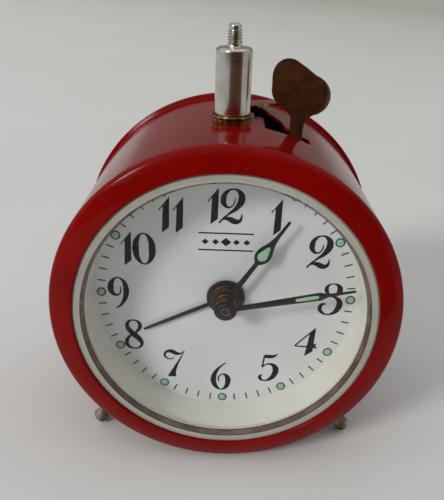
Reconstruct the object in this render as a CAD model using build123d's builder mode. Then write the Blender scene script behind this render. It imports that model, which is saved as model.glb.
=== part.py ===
"""Wind-up alarm clock: round enamelled drum case, bell post, dial, hands and the two clock trains inside.

Depths are counted from the dial's face into the case, and x, z from the centre of the hands,
so every piece is placed by (x, z) and a front and a back depth. +Z is up and the dial faces -Y.
"""

import os
from math import atan2, cos, degrees, hypot, radians, sin

from build123d import *

os.makedirs("parts", exist_ok=True)

# Case
drum_r = 48.0
sheet = 0.8  # steel sheet of the drum
lip_r = 41.2
lip_depth = -14.65
shoulder_depth = -12.1  # where the slanted front ring turns into the drum
flange_r = 49.3
flange_front = 46.3
flange_back = 48.4
key_back = 61.35  # back of the winding keys, the deepest point
axis_z = flange_r  # the rear flange and the feet stand on z = 0
dial_y = -(lip_depth + key_back) / 2  # puts the origin under the middle of the object's box

# Dial and glazing
dial_r = 43.2
dial_t = 0.5
window_r = 38.2
step_r = 39.15  # front of the conical step round the window
window_front = -12.4
window_back = -11.4
wall_r = 39.0
reflector_r = 39.1
wall_bottom_r = 38.0

# Bell post, on the drum's top
post_depth = 12.5
post_r = 4.9
shoulder_z = 67.5
stud_r = 2.0  # M4
stud_top = 73.5
spigot_r = 2.5
collar_top = 50.1
collar_r = 6.0

# Feet
foot_angle = 39.7  # from straight down
foot_depth = 2.5
foot_r = 2.25
foot_tip = (flange_r - foot_r * sin(radians(foot_angle))) / cos(radians(foot_angle))

# Plates of the movement
plate_r = 39.5
plate_t = 1.2
front_plate = 6.5
back_plate = 31.0
front_inside = front_plate + plate_t
back_outside = back_plate + plate_t
cover_front = 45.4
cover_back = 46.2
run_gap = 0.05  # radial clearance of every running fit

# Where the arbors stand, as (x, z)
centre = (0.0, 0.0)
time_spring_at = (-20.5, -9.0)
alarm_spring_at = (20.5, -9.0)
third_at = (-7.5, 13.3)
fourth_at = (5.6, 17.0)
escape_at = (3.5, 28.8)
pallet_at = (-5.3, 26.9)
balance_at = (-20.0, 25.0)
hammer_at = (18.0, 24.0)
alarm_escape_at = (22.0, 10.3)
minute_wheel_at = (-8.5, 8.5)
alarm_set_at = (0.0, -16.0)
stop_pivot_at = (0.0, 34.0)
pillars_at = [(-32, 19), (32, 19), (-15, -34), (15, -34)]
posts_at = [(-33, 8), (33, 8), (0, -35)]
dial_feet_at = [(-25, -18), (25, -18), (0, 31)]

# Teeth
great_teeth = 60
centre_leaves = 10
centre_teeth = 64
third_leaves = 8
third_teeth = 60
fourth_leaves = 8
fourth_teeth = 56
escape_leaves = 7
escape_teeth = 15
alarm_leaves = 8
alarm_escape_teeth = 16
cannon_leaves = 12
minute_teeth = 36
minute_leaves = 10
hour_teeth = 40
alarm_teeth = 48
alarm_set_leaves = 16
ratchet_teeth = 12

# Hands: angle clockwise from twelve, length from the centre to the tip
minute_angle, minute_length = 78.3, 36.2
hour_angle, hour_length = 33.3, 30.2
alarm_angle, alarm_length = 244.3, 26.5
hand_t = 0.4


def across(depth):
    """The plane of the dial moved back by depth, seen from the front."""
    return Plane(origin=(0, dial_y + depth, axis_z), x_dir=(1, 0, 0), z_dir=(0, -1, 0))


def section(at=centre):
    """The plane through the axis at (x, z): its own x is depth and its own y is radius."""
    return Plane(origin=(at[0], dial_y, axis_z + at[1]), x_dir=(0, 1, 0), z_dir=(1, 0, 0))


def turn(points, at=centre, mode=Mode.ADD):
    """A body turned about the front-to-back axis at (x, z), from (depth, radius) points."""
    with BuildSketch(section(at)) as profile:
        with BuildLine():
            Polyline(points, close=True)
        make_face()
    axis = Axis((at[0], dial_y, axis_z + at[1]), (0, 1, 0))
    revolve(profile.sketch, axis=axis, mode=mode)


def bars(places, front, back, radius, mode=Mode.ADD):
    """Round bars along the depth, one at each (x, z)."""
    with BuildSketch(across(back)) as rounds:
        with Locations(*places):
            Circle(radius)
    extrude(rounds.sketch, amount=back - front, mode=mode)


def hexes(places, front, back, across_flats, mode=Mode.ADD):
    """Hexagon nuts along the depth, one at each (x, z)."""
    with BuildSketch(across(back)) as flats:
        with Locations(*places):
            RegularPolygon(across_flats / 2, 6, major_radius=False)
    extrude(flats.sketch, amount=back - front, mode=mode)


def outline(points, front, back, mode=Mode.ADD):
    """A plate of straight-edged outline in (x, z), from one depth to another."""
    with BuildSketch(across(back)) as shape:
        with BuildLine():
            Polyline(points, close=True)
        make_face()
    extrude(shape.sketch, amount=back - front, mode=mode)


def polar(at, radius, angle):
    """The point at an angle in degrees, counted anticlockwise from +X, around (x, z)."""
    return (at[0] + radius * cos(radians(angle)), at[1] + radius * sin(radians(angle)))


def distance(a, b):
    return hypot(b[0] - a[0], b[1] - a[1])


def bearing(a, b):
    """The angle from a to b, in degrees."""
    return degrees(atan2(b[1] - a[1], b[0] - a[0]))


def mesh_module(a, b, teeth, leaves):
    """The module of a wheel at a that drives a pinion at b."""
    return 2 * distance(a, b) / (teeth + leaves)


def toothed(at, front, back, teeth, module, phase, root_share=0.25, tip_share=0.09, addendum=0.85):
    """A toothed disc with one tooth centred at the angle phase."""
    pitch = 360 / teeth
    tip = module * (teeth / 2 + addendum)
    root = module * (teeth / 2 - 1.2)
    points = []
    for tooth in range(teeth):
        middle = phase + tooth * pitch
        for radius, share in ((root, -root_share), (tip, -tip_share), (tip, tip_share), (root, root_share)):
            points.append(polar(at, radius, middle + share * pitch))
    outline(points, front, back)


def sawtooth(at, front, back, teeth, tip, root, phase):
    """An escape or ratchet wheel: leaning teeth with one tip at the angle phase."""
    pitch = 360 / teeth
    points = []
    for tooth in range(teeth):
        middle = phase + tooth * pitch
        points.append(polar(at, root, middle - 0.06 * pitch))
        points.append(polar(at, tip, middle))
        points.append(polar(at, tip, middle + 0.05 * pitch))
        points.append(polar(at, root, middle + 0.34 * pitch))
    outline(points, front, back)


def windows(at, front, back, ring, radius, count):
    """Round windows that lighten a wheel."""
    places = [polar(at, ring, 90 + i * 360 / count) for i in range(count)]
    bars(places, front, back, radius, mode=Mode.SUBTRACT)


def spiral(at, front, back, inner, pitch, strip, half_turns):
    """A flat spiral strip wound from half circles, each one half a pitch larger than the last."""
    with BuildSketch(across(back)) as coil:
        with BuildLine():
            for side in (0, 1):
                for i in range(half_turns):
                    middle = at[0] + (pitch / 2 if i % 2 else 0)
                    radius = inner + side * strip + i * pitch / 2
                    start = 180 if i % 2 else 0
                    CenterArc((middle, at[1]), radius, start, 180)
            first = at[0] + inner
            last_middle = at[0] + (pitch / 2 if (half_turns - 1) % 2 else 0)
            last_radius = inner + (half_turns - 1) * pitch / 2
            last = last_middle + (last_radius if half_turns % 2 == 0 else -last_radius)
            outward = strip if half_turns % 2 == 0 else -strip
            Line((first, at[1]), (first + strip, at[1]))
            Line((last, at[1]), (last + outward, at[1]))
        make_face()
    extrude(coil.sketch, amount=back - front)


def hand_points(angle, stations):
    """A hand's outline: (distance from the centre, half width) pairs along one side, then back."""
    tip = 90 - angle
    side = [polar(centre, hypot(s, w), tip + degrees(atan2(w, s))) for s, w in stations]
    other = [polar(centre, hypot(s, w), tip - degrees(atan2(w, s))) for s, w in reversed(stations)]
    return side + other


def drum_solid(radius, front, back):
    """A plain cylinder about the clock's axis, used to fit pieces to the drum."""
    with BuildPart() as cylinder:
        bars([centre], front, back, radius)
    return cylinder.part


# ---------------------------------------------------------------- case
# The opening in the drum's top, seen from above in (x, depth): a slot for the hammer's stem that
# widens behind the bell post for the stop lever.
opening = [(9, 9), (21.8, 8.6), (21.8, 14.6), (19.6, 13.8), (15.5, 17.4), (14.4, 23.3), (11, 30.3)]
opening += [(9, 36.5), (-2.5, 36.5), (-2.5, 22), (9, 21)]
feet_sides = (-1, 1)


def foot_plane(side, radius):
    """The plane square to a foot's axis at a radius from the centre of the drum."""
    down = (side * sin(radians(foot_angle)), 0, -cos(radians(foot_angle)))
    start = (radius * down[0], dial_y + foot_depth, axis_z + radius * down[2])
    return Plane(origin=start, x_dir=(0, 1, 0), z_dir=down)


with BuildPart() as case_shell:
    with BuildSketch(section()) as wall:
        with BuildLine():
            Line((lip_depth, lip_r), (lip_depth + 0.25, lip_r + 1.2))
            Spline(
                (lip_depth + 0.25, lip_r + 1.2),
                (lip_depth + 0.95, lip_r + 3.6),
                (shoulder_depth - 0.3, drum_r - 0.75),
                (shoulder_depth + 1.2, drum_r),
                tangents=((0.3, 1), (1, 0)),
            )
            Polyline(
                (shoulder_depth + 1.2, drum_r),
                (flange_front, drum_r),
                (flange_front + 0.5, flange_r),
                (flange_back - 0.6, flange_r),
                (flange_back, flange_r - 0.6),
                (flange_back, drum_r - sheet),
                (shoulder_depth + 1.4, drum_r - sheet),
                (lip_depth + 1.1, lip_r + 1.2),
                (lip_depth + 0.85, lip_r),
                (lip_depth, lip_r),
            )
        make_face()
    revolve(wall.sketch, axis=Axis((0, dial_y, axis_z), (0, 1, 0)))
    with BuildSketch(Plane.XY.offset(axis_z + 40)) as cut:
        with BuildLine():
            Polyline([(x, dial_y + depth) for x, depth in opening], close=True)
        make_face()
    extrude(cut.sketch, amount=12, mode=Mode.SUBTRACT)
    with BuildSketch(Plane.XY.offset(axis_z + 40)) as post_hole:
        with Locations((0, dial_y + post_depth)):
            Circle(spigot_r + 0.1)
    extrude(post_hole.sketch, amount=12, mode=Mode.SUBTRACT)
    for side in feet_sides:
        with BuildSketch(foot_plane(side, 42)) as foot_hole:
            Circle(1.6)
        extrude(foot_hole.sketch, amount=10, mode=Mode.SUBTRACT)

with BuildPart() as crystal:
    turn(
        [
            (window_back, 0),
            (window_back, wall_r),
            (-12.35, wall_r + 0.05),
            (-13.2, 40.2),
            (-12.3, 42.4),
            (-13.2, 42.4),
            (-13.4, lip_r - 0.1),
            (-14.1, lip_r - 0.3),
            (-14.1, step_r),
            (window_front, window_r),
            (window_front, 0),
        ]
    )

with BuildPart() as reflector_ring:
    turn(
        [
            (0, wall_bottom_r),
            (-11.2, reflector_r),
            (-12.2, reflector_r + 0.1),
            (-12.2, dial_r),
            (-11.4, dial_r),
            (-11.4, reflector_r + 1),
            (-0.8, wall_bottom_r + 1),
            (-0.8, dial_r),
            (0, dial_r),
        ]
    )

with BuildPart() as dial:
    bars([centre], 0, dial_t, dial_r)
    bars([centre], 0, dial_t, 4.2, mode=Mode.SUBTRACT)

with BuildPart() as dial_feet:
    bars(dial_feet_at, dial_t, front_plate, 1.0)

regulator_reach = 12
cover_holes = {time_spring_at: 2.6, alarm_spring_at: 2.6, centre: 1.8, alarm_set_at: 1.8}
with BuildPart() as back_cover:
    turn(
        [
            (cover_front, 0),
            (cover_front, 41),
            (cover_front - 1.6, 43),
            (cover_front - 1.6, drum_r - sheet - 0.1),
            (cover_back - 1.6, drum_r - sheet - 0.1),
            (cover_back - 1.6, 43.4),
            (cover_back, 41.4),
            (cover_back, 0),
        ]
    )
    for place, radius in cover_holes.items():
        bars([place], cover_front - 1, cover_back + 1, radius, mode=Mode.SUBTRACT)
    bars(posts_at, cover_front - 1, cover_back + 1, 1.1, mode=Mode.SUBTRACT)
    with BuildSketch(across(cover_back + 1)) as regulator_window:
        with BuildLine():
            CenterArc(balance_at, regulator_reach - 1.8, -24, 48)
            CenterArc(balance_at, regulator_reach + 1.8, -24, 48)
            for end in (-24, 24):
                Line(
                    polar(balance_at, regulator_reach - 1.8, end),
                    polar(balance_at, regulator_reach + 1.8, end),
                )
        make_face()
    extrude(regulator_window.sketch, amount=3, mode=Mode.SUBTRACT)

with BuildPart() as cover_screws:
    for place in posts_at:
        turn([(cover_back, 0), (cover_back, 2.4), (cover_back + 0.9, 2.2), (cover_back + 1.3, 0)], place)
        bars([place], cover_front - 5, cover_back, 1.0)
        slot = [(place[0] - 3, place[1] - 0.3), (place[0] + 3, place[1] - 0.3)]
        slot += [(place[0] + 3, place[1] + 0.3), (place[0] - 3, place[1] + 0.3)]
        outline(slot, cover_back + 0.7, cover_back + 2, mode=Mode.SUBTRACT)

with BuildPart() as back_posts:
    bars(posts_at, back_outside, cover_front, 2.5)
    bars(posts_at, cover_front - 6, cover_front, 1.0, mode=Mode.SUBTRACT)

shank_r = 1.5
nut_seat = drum_r - sheet - 0.12


with BuildPart() as feet:
    for side in feet_sides:
        with BuildSketch(foot_plane(side, drum_r + 0.02)) as peg:
            Circle(foot_r)
        extrude(peg.sketch, amount=foot_tip - drum_r - 0.02)
        with BuildSketch(foot_plane(side, drum_r + 0.02)) as shank:
            Circle(shank_r)
        extrude(shank.sketch, amount=-5.5)

with BuildPart() as foot_nuts:
    for side in feet_sides:
        with BuildSketch(foot_plane(side, nut_seat)) as nut:
            RegularPolygon(2.75, 6, major_radius=False)
            Circle(shank_r, mode=Mode.SUBTRACT)
        extrude(nut.sketch, amount=-2.4)

# ---------------------------------------------------------------- bell post
post_axis = Axis((0, dial_y + post_depth, 0), (0, 0, 1))


def post_section():
    """The plane through the post's axis: its own x is radius and its own y is height over the centre."""
    return Plane(origin=(0, dial_y + post_depth, axis_z), x_dir=(1, 0, 0), z_dir=(0, -1, 0))


with BuildPart() as bell_post:
    with BuildSketch(post_section()) as post_profile:
        with BuildLine():
            Polyline(
                [
                    (0, 42.5),
                    (spigot_r, 42.5),
                    (spigot_r, collar_top),
                    (post_r, collar_top),
                    (post_r, shoulder_z - 0.6),
                    (post_r - 0.6, shoulder_z),
                    (stud_r, shoulder_z),
                    (stud_r, stud_top - 0.5),
                    (stud_r - 0.5, stud_top),
                    (0, stud_top),
                ],
                close=True,
            )
        make_face()
    revolve(post_profile.sketch, axis=post_axis)

with BuildPart() as post_collar:
    with BuildSketch(post_section()) as collar_profile:
        with BuildLine():
            Polyline(
                [
                    (spigot_r, 46),
                    (collar_r - 0.6, 46),
                    (collar_r - 0.6, collar_top - 1.1),
                    (collar_r, collar_top - 0.9),
                    (collar_r, collar_top - 0.2),
                    (collar_r - 0.2, collar_top),
                    (spigot_r, collar_top),
                ],
                close=True,
            )
        make_face()
    revolve(collar_profile.sketch, axis=post_axis)
    add(drum_solid(drum_r + 0.02, -5, 30), mode=Mode.SUBTRACT)

with BuildPart() as post_nut:
    with BuildSketch(Plane((0, dial_y + post_depth, axis_z + 43.6))) as nut_flats:
        RegularPolygon(4, 6, major_radius=False)
        Circle(spigot_r, mode=Mode.SUBTRACT)
    extrude(nut_flats.sketch, amount=3.3)

# ---------------------------------------------------------------- plates
pivot_r = 0.6
bearings = {
    third_at: pivot_r,
    fourth_at: pivot_r,
    escape_at: pivot_r,
    pallet_at: pivot_r,
    hammer_at: pivot_r,
    alarm_escape_at: pivot_r,
}
winding_r = 1.9
bearing_screw_r = 2.2


def bore_plate(front, back):
    """The holes that both plates share."""
    for place, radius in bearings.items():
        bars([place], front, back, radius + run_gap, mode=Mode.SUBTRACT)
    for place in (time_spring_at, alarm_spring_at):
        bars([place], front, back, winding_r + run_gap, mode=Mode.SUBTRACT)
    bars([alarm_set_at], front, back, 1.0 + run_gap, mode=Mode.SUBTRACT)
    bars([centre], front, back, 1.2 + run_gap, mode=Mode.SUBTRACT)
    bars([balance_at], front, back, bearing_screw_r, mode=Mode.SUBTRACT)
    bars(pillars_at, front, back, 1.5, mode=Mode.SUBTRACT)


with BuildPart() as front_plate_part:
    bars([centre], front_plate, front_inside, plate_r)
    bore_plate(front_plate, front_inside)
    bars([minute_wheel_at], front_plate, front_inside, 1.0, mode=Mode.SUBTRACT)

with BuildPart() as back_plate_part:
    bars([centre], back_plate, back_outside, plate_r)
    bore_plate(back_plate, back_outside)
    bars([stop_pivot_at], back_plate, back_outside, 1.2, mode=Mode.SUBTRACT)

with BuildPart() as pillars:
    bars(pillars_at, front_inside, back_plate, 2.5)
    bars(pillars_at, front_plate - 2, back_outside + 2.4, 1.5)

with BuildPart() as pillar_nuts:
    hexes(pillars_at, front_plate - 1.8, front_plate, 5.5)
    hexes(pillars_at, back_outside, back_outside + 2, 5.5)
    bars(pillars_at, front_plate - 3, back_outside + 3, 1.5, mode=Mode.SUBTRACT)

with BuildPart() as minute_wheel_stud:
    bars([minute_wheel_at], 1.9, front_inside, 1.0)
    bars([minute_wheel_at], 4.9, front_plate, 1.6)

# ---------------------------------------------------------------- motion work, behind the dial
cannon_distance = distance(centre, minute_wheel_at)
motion_bearing = bearing(centre, minute_wheel_at)
cannon_module = 2 * cannon_distance / (cannon_leaves + minute_teeth)
hour_module = 2 * cannon_distance / (minute_leaves + hour_teeth)
centre_r = 1.2
cannon_r = 1.95
hour_pipe_r = 2.75
alarm_pipe_r = 3.6

with BuildPart() as centre_arbor:
    bars([centre], -9.4, 56, centre_r)

with BuildPart() as cannon_pinion:
    toothed(centre, 3.4, 5.2, cannon_leaves, cannon_module, motion_bearing + 180 / cannon_leaves)
    bars([centre], -8.9, 5.6, cannon_r)
    bars([centre], -9, 6, centre_r, mode=Mode.SUBTRACT)

with BuildPart() as minute_wheel:
    toothed(minute_wheel_at, 3.7, 4.5, minute_teeth, cannon_module, motion_bearing + 180)
    leaf_turn = motion_bearing + 180 + 180 / minute_leaves
    toothed(minute_wheel_at, 2.1, 3.7, minute_leaves, hour_module, leaf_turn)
    bars([minute_wheel_at], 1.5, 5, 1.0 + run_gap, mode=Mode.SUBTRACT)

with BuildPart() as hour_wheel:
    toothed(centre, 2.2, 3.0, hour_teeth, hour_module, motion_bearing)
    bars([centre], -4.6, 3.0, hour_pipe_r)
    bars([centre], -5, 4, cannon_r + run_gap, mode=Mode.SUBTRACT)

alarm_module = mesh_module(centre, alarm_set_at, alarm_teeth, alarm_set_leaves)
set_bearing = bearing(centre, alarm_set_at)

with BuildPart() as alarm_wheel:
    toothed(centre, 1.0, 1.8, alarm_teeth, alarm_module, set_bearing)
    bars([centre], -1.6, 1.8, alarm_pipe_r)
    bars([centre], -2, 2, hour_pipe_r + run_gap, mode=Mode.SUBTRACT)

with BuildPart() as alarm_set_arbor:
    leaf_turn = set_bearing + 180 + 180 / alarm_set_leaves
    toothed(alarm_set_at, 1.0, 1.8, alarm_set_leaves, alarm_module, leaf_turn)
    bars([alarm_set_at], 0.9, 56, 1.0)
    bars([alarm_set_at], 2.0, front_plate - 0.1, 1.6)

# ---------------------------------------------------------------- hands
# each station: distance from the centre, half width
minute_stations = [(0, 0.75), (6.3, 0.78), (19.7, 1.05), (26.4, 1.2), (27.9, 0.7), (29, 0.44), (minute_length, 0.3)]
with BuildPart() as minute_hand:
    outline(
        hand_points(minute_angle, minute_stations),
        -8.5,
        -8.5 + hand_t,
    )
    bars([centre], -8.5, -8.5 + hand_t, 3.25)
    bars([centre], -9, -8, cannon_r, mode=Mode.SUBTRACT)

hour_stations = [(0, 0.8), (14.8, 0.62), (15.5, 1.3), (16.5, 1.95), (17.9, 2.2), (19.3, 2.0), (21.2, 1.25)]
hour_stations += [(23.2, 0.72), (25.5, 0.5), (hour_length, 0.4)]
with BuildPart() as hour_hand:
    outline(hand_points(hour_angle, hour_stations), -3.9, -3.9 + hand_t)
    bars([centre], -3.9, -3.9 + hand_t, 3.9)
    bars([centre], -4.4, -3, hour_pipe_r, mode=Mode.SUBTRACT)

with BuildPart() as alarm_hand:
    outline(
        hand_points(alarm_angle, [(0, 0.6), (12, 0.58), (20, 0.5), (alarm_length, 0.36)]),
        -1.3,
        -1.3 + hand_t,
    )
    bars([centre], -1.3, -1.3 + hand_t, 5.4)
    bars([centre], -2, 0, alarm_pipe_r, mode=Mode.SUBTRACT)

# ---------------------------------------------------------------- going train
great_module = mesh_module(time_spring_at, centre, great_teeth, centre_leaves)
centre_module = mesh_module(centre, third_at, centre_teeth, third_leaves)
third_module = mesh_module(third_at, fourth_at, third_teeth, fourth_leaves)
fourth_module = mesh_module(fourth_at, escape_at, fourth_teeth, escape_leaves)
ratchet_r = 5.0
ratchet_root = 3.9
click_ring = 8.6


def make_great_wheel(at, front, phase, module, click_front, bore):
    """A great wheel on its winding arbor, with the pin that carries its click."""
    with BuildPart() as wheel:
        toothed(at, front, front + 1.4, great_teeth, module, phase)
        windows(at, front - 1, front + 3, 13.2, 2.6, 5)
        pin_at = (at[0], at[1] + click_ring)
        bars([pin_at], min(front, click_front), max(front + 1.4, click_front + 1.2), 0.7)
        bars([at], front - 1, front + 3, bore, mode=Mode.SUBTRACT)
    return wheel


def make_click(at, front):
    """A click: a pawl on the great wheel's pin whose nose drops between the ratchet's teeth."""
    pin = (at[0], at[1] + click_ring)
    with BuildPart() as click:
        bars([pin], front, front + 1.0, 1.6)
        nose = polar(at, 4.5, 48)
        outline([(pin[0] - 0.6, pin[1] + 1.3), (pin[0] + 1.5, pin[1] + 0.4), nose], front, front + 1.0)
        bars([pin], front - 1, front + 2, 0.7 + run_gap, mode=Mode.SUBTRACT)
    return click


def make_winding_arbor(at, ratchet_front):
    """A winding arbor with its ratchet wheel, running in both plates and out through the cover."""
    with BuildPart() as arbor:
        bars([at], front_plate, 55, winding_r)
        sawtooth(at, ratchet_front, ratchet_front + 1.0, ratchet_teeth, ratchet_r, ratchet_root, 33)
    return arbor


def make_key(at):
    """A winding key: a hub screwed on the arbor, with two flat wings."""
    notch_back = dial_y + 58.6
    wings_front = dial_y + 50.2
    one_side = [(3, wings_front), (6.5, wings_front), (11, dial_y + 53.5), (11, notch_back)]
    one_side += [(8.2, dial_y + key_back), (3.4, dial_y + key_back), (1.6, notch_back)]
    with BuildPart() as key:
        bars([at], 48.9, 56.4, 3.2)
        with BuildSketch(Plane((at[0], 0, axis_z + at[1] - 0.7))) as wings:
            with BuildLine():
                Polyline(one_side + [(-x, y) for x, y in reversed(one_side)], close=True)
            make_face()
        extrude(wings.sketch, amount=1.4)
        bars([at], 48, 55, winding_r, mode=Mode.SUBTRACT)
    return key


def make_spring(at, front):
    """A mainspring: a flat strip wound round its arbor."""
    with BuildPart() as spring:
        spiral(at, front, front + 8, winding_r + 0.9, 0.95, 0.35, 15)
    return spring


time_front = 9.0
alarm_front = 28.4
time_click_front = 10.6
alarm_click_front = 27.2
time_great_wheel = make_great_wheel(
    time_spring_at,
    time_front,
    bearing(time_spring_at, centre),
    great_module,
    time_click_front,
    winding_r + run_gap,
)
time_click = make_click(time_spring_at, time_click_front)
time_winding_arbor = make_winding_arbor(time_spring_at, time_click_front)
time_key = make_key(time_spring_at)
time_mainspring = make_spring(time_spring_at, 12.5)
alarm_great_module = mesh_module(alarm_spring_at, alarm_escape_at, great_teeth, alarm_leaves)
alarm_great_wheel = make_great_wheel(
    alarm_spring_at,
    alarm_front,
    bearing(alarm_spring_at, alarm_escape_at),
    alarm_great_module,
    alarm_click_front,
    winding_r + run_gap,
)
alarm_click = make_click(alarm_spring_at, alarm_click_front)
alarm_winding_arbor = make_winding_arbor(alarm_spring_at, alarm_click_front)
alarm_key = make_key(alarm_spring_at)
alarm_mainspring = make_spring(alarm_spring_at, 13.5)


def make_wheel(at, front, teeth, module, phase, bore, ring, radius):
    """A thin brass train wheel with round windows."""
    with BuildPart() as wheel:
        toothed(at, front, front + 0.8, teeth, module, phase)
        windows(at, front - 1, front + 2, ring, radius, 5)
        bars([at], front - 1, front + 2, bore, mode=Mode.SUBTRACT)
    return wheel


def make_pinion(at, front, leaves, module, driver, wheel_seat):
    """A steel arbor with its pinion, its pivots in the plates and a seat for its wheel."""
    with BuildPart() as pinion:
        phase = bearing(at, driver) + 180 / leaves
        toothed(at, front, front + 2.0, leaves, module, phase)
        bars([at], front_inside + 0.3, back_plate - 0.3, 0.9)
        bars([at], front_plate + 0.2, back_outside - 0.2, pivot_r)
        bars([at], wheel_seat, wheel_seat + 0.8, seat_r)
    return pinion


seat_r = 1.1
centre_wheel_front = 23.4
third_wheel_front = 25.4
fourth_wheel_front = 21.3
escape_front = 24.0
sleeve_r = 2.0

with BuildPart() as centre_pinion:
    leaf_turn = bearing(centre, time_spring_at) + 180 / centre_leaves
    toothed(centre, 8.6, 10.8, centre_leaves, great_module, leaf_turn)
    bars([centre], 8.2, centre_wheel_front + 1.2, sleeve_r)
    bars([centre], 8, 26, centre_r + run_gap, mode=Mode.SUBTRACT)

centre_wheel = make_wheel(
    centre, centre_wheel_front, centre_teeth, centre_module, bearing(centre, third_at), sleeve_r, 8, 2.6
)
third_pinion = make_pinion(
    third_at, centre_wheel_front - 0.6, third_leaves, centre_module, centre, third_wheel_front
)
third_wheel = make_wheel(
    third_at,
    third_wheel_front,
    third_teeth,
    third_module,
    bearing(third_at, fourth_at),
    seat_r,
    6.8,
    2.2,
)
fourth_pinion = make_pinion(
    fourth_at, third_wheel_front - 0.6, fourth_leaves, third_module, third_at, fourth_wheel_front
)
fourth_wheel = make_wheel(
    fourth_at,
    fourth_wheel_front,
    fourth_teeth,
    fourth_module,
    bearing(fourth_at, escape_at),
    seat_r,
    6,
    1.9,
)
escape_pinion = make_pinion(
    escape_at, fourth_wheel_front - 0.6, escape_leaves, fourth_module, fourth_at, escape_front
)

# ---------------------------------------------------------------- escapement
escape_tip = 6.0
escape_pitch = 360 / escape_teeth
to_pallet = bearing(escape_at, pallet_at)
pallet_pins_at = [polar(escape_at, escape_tip + 0.45, to_pallet + turn_by) for turn_by in (-30, 30)]
to_balance = bearing(pallet_at, balance_at)
fork_reach = distance(pallet_at, balance_at) - 2.9
roller_r = 3.2

with BuildPart() as escape_wheel:
    first_tooth = to_pallet + escape_pitch / 2
    sawtooth(escape_at, escape_front, escape_front + 0.8, escape_teeth, escape_tip, 4.3, first_tooth)
    bars([escape_at], escape_front - 1, escape_front + 2, seat_r, mode=Mode.SUBTRACT)


def arm(start, end, half_width, front, back):
    """A straight flat arm between two points."""
    along = bearing(start, end)
    corners = [polar(start, half_width, along + 90), polar(end, half_width, along + 90)]
    corners += [polar(end, half_width, along - 90), polar(start, half_width, along - 90)]
    outline(corners, front, back)


lever_front = 22.8
lever_back = 23.5
with BuildPart() as pallet_lever:
    bars([pallet_at], lever_front, lever_back, 1.7)
    for place in pallet_pins_at:
        arm(pallet_at, place, 0.6, lever_front, lever_back)
    bars(pallet_pins_at, lever_front, lever_back, 0.8)
    fork_root = polar(pallet_at, fork_reach - 2, to_balance)
    arm(pallet_at, fork_root, 0.7, lever_front, lever_back)
    for side in (-1, 1):
        prong_start = polar(fork_root, 0.85, to_balance + side * 90)
        arm(prong_start, polar(prong_start, 2, to_balance), 0.4, lever_front, lever_back)
    arm(fork_root, polar(fork_root, 0.6, to_balance), 1.2, lever_front, lever_back)
    bars([pallet_at], lever_front - 1, lever_back + 1, 0.9, mode=Mode.SUBTRACT)
    bars(pallet_pins_at, lever_back, escape_front + 1.0, 0.25)

with BuildPart() as pallet_arbor:
    bars([pallet_at], front_inside + 0.3, back_plate - 0.3, 0.9)
    bars([pallet_at], front_plate + 0.2, back_outside - 0.2, pivot_r)

balance_front = 26.5
balance_r = 9.5
with BuildPart() as balance_wheel:
    bars([balance_at], balance_front, balance_front + 1.2, balance_r)
    bars([balance_at], balance_front - 1, balance_front + 2, balance_r - 1.6, mode=Mode.SUBTRACT)
    across_arm = [polar(balance_at, balance_r - 1, angle) for angle in (to_balance, to_balance + 180)]
    arm(*across_arm, 0.8, balance_front, balance_front + 1.2)
    bars([balance_at], balance_front, balance_front + 1.2, 2.0)
    bars([polar(balance_at, roller_r, to_balance)], lever_front - 0.3, balance_front, 0.35)
    bars([balance_at], balance_front - 1, balance_front + 2, 0.9, mode=Mode.SUBTRACT)

bearing_front = 13.0
bearing_back = 29.9
with BuildPart() as balance_staff:
    turn(
        [
            (bearing_front, 0),
            (bearing_front + 1.0, 0.9),
            (bearing_back - 1.0, 0.9),
            (bearing_back, 0),
        ],
        balance_at,
    )

with BuildPart() as hairspring:
    spiral(balance_at, balance_front + 1.5, balance_front + 2.0, 1.15, 0.7, 0.12, 13)

with BuildPart() as balance_screws:
    bars([balance_at], front_plate - 2.2, bearing_front - 0.1, bearing_screw_r)
    bars([balance_at], bearing_back + 0.1, back_outside + 2.4, bearing_screw_r)
    driver = [(balance_at[0] - 3, balance_at[1] - 0.4), (balance_at[0] + 3, balance_at[1] - 0.4)]
    driver += [(balance_at[0] + 3, balance_at[1] + 0.4), (balance_at[0] - 3, balance_at[1] + 0.4)]
    outline(driver, back_outside + 1.6, back_outside + 3, mode=Mode.SUBTRACT)

regulator_front = back_outside + 0.3
with BuildPart() as regulator_lever:
    bars([balance_at], regulator_front, regulator_front + 0.8, 3.6)
    regulator_end = polar(balance_at, regulator_reach + 1.0, 0)
    arm(balance_at, regulator_end, 0.9, regulator_front, regulator_front + 0.8)
    arm(polar(balance_at, regulator_reach - 1, 0), regulator_end, 0.9, regulator_front, cover_back + 2)
    lever_bore = bearing_screw_r + run_gap
    bars([balance_at], regulator_front - 1, regulator_front + 3, lever_bore, mode=Mode.SUBTRACT)

# ---------------------------------------------------------------- alarm train and hammer
alarm_escape_front = 14.0
alarm_tip = 7.0
to_hammer = bearing(alarm_escape_at, hammer_at)
verge_pins_at = [polar(alarm_escape_at, alarm_tip + 0.7, to_hammer + turn_by) for turn_by in (-28, 28)]

alarm_escape_wheel = make_pinion(
    alarm_escape_at,
    alarm_front - 0.4,
    alarm_leaves,
    alarm_great_module,
    alarm_spring_at,
    alarm_escape_front,
)
with alarm_escape_wheel:
    sawtooth(
        alarm_escape_at,
        alarm_escape_front,
        alarm_escape_front + 1.0,
        alarm_escape_teeth,
        alarm_tip,
        5.0,
        to_hammer + 180 / alarm_escape_teeth,
    )

with BuildPart() as hammer_arbor:
    bars([hammer_at], front_inside + 0.3, back_plate - 0.3, 1.0)
    bars([hammer_at], front_plate + 0.2, back_outside - 0.2, pivot_r)
    bars([hammer_at], 12.9, 13.6, 2.2)
    for place in verge_pins_at:
        arm(hammer_at, place, 0.7, 12.9, 13.6)
    bars(verge_pins_at, 12.9, 15.2, 0.35)

hammer_front = 11.6
hammer_back = 12.4
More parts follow.
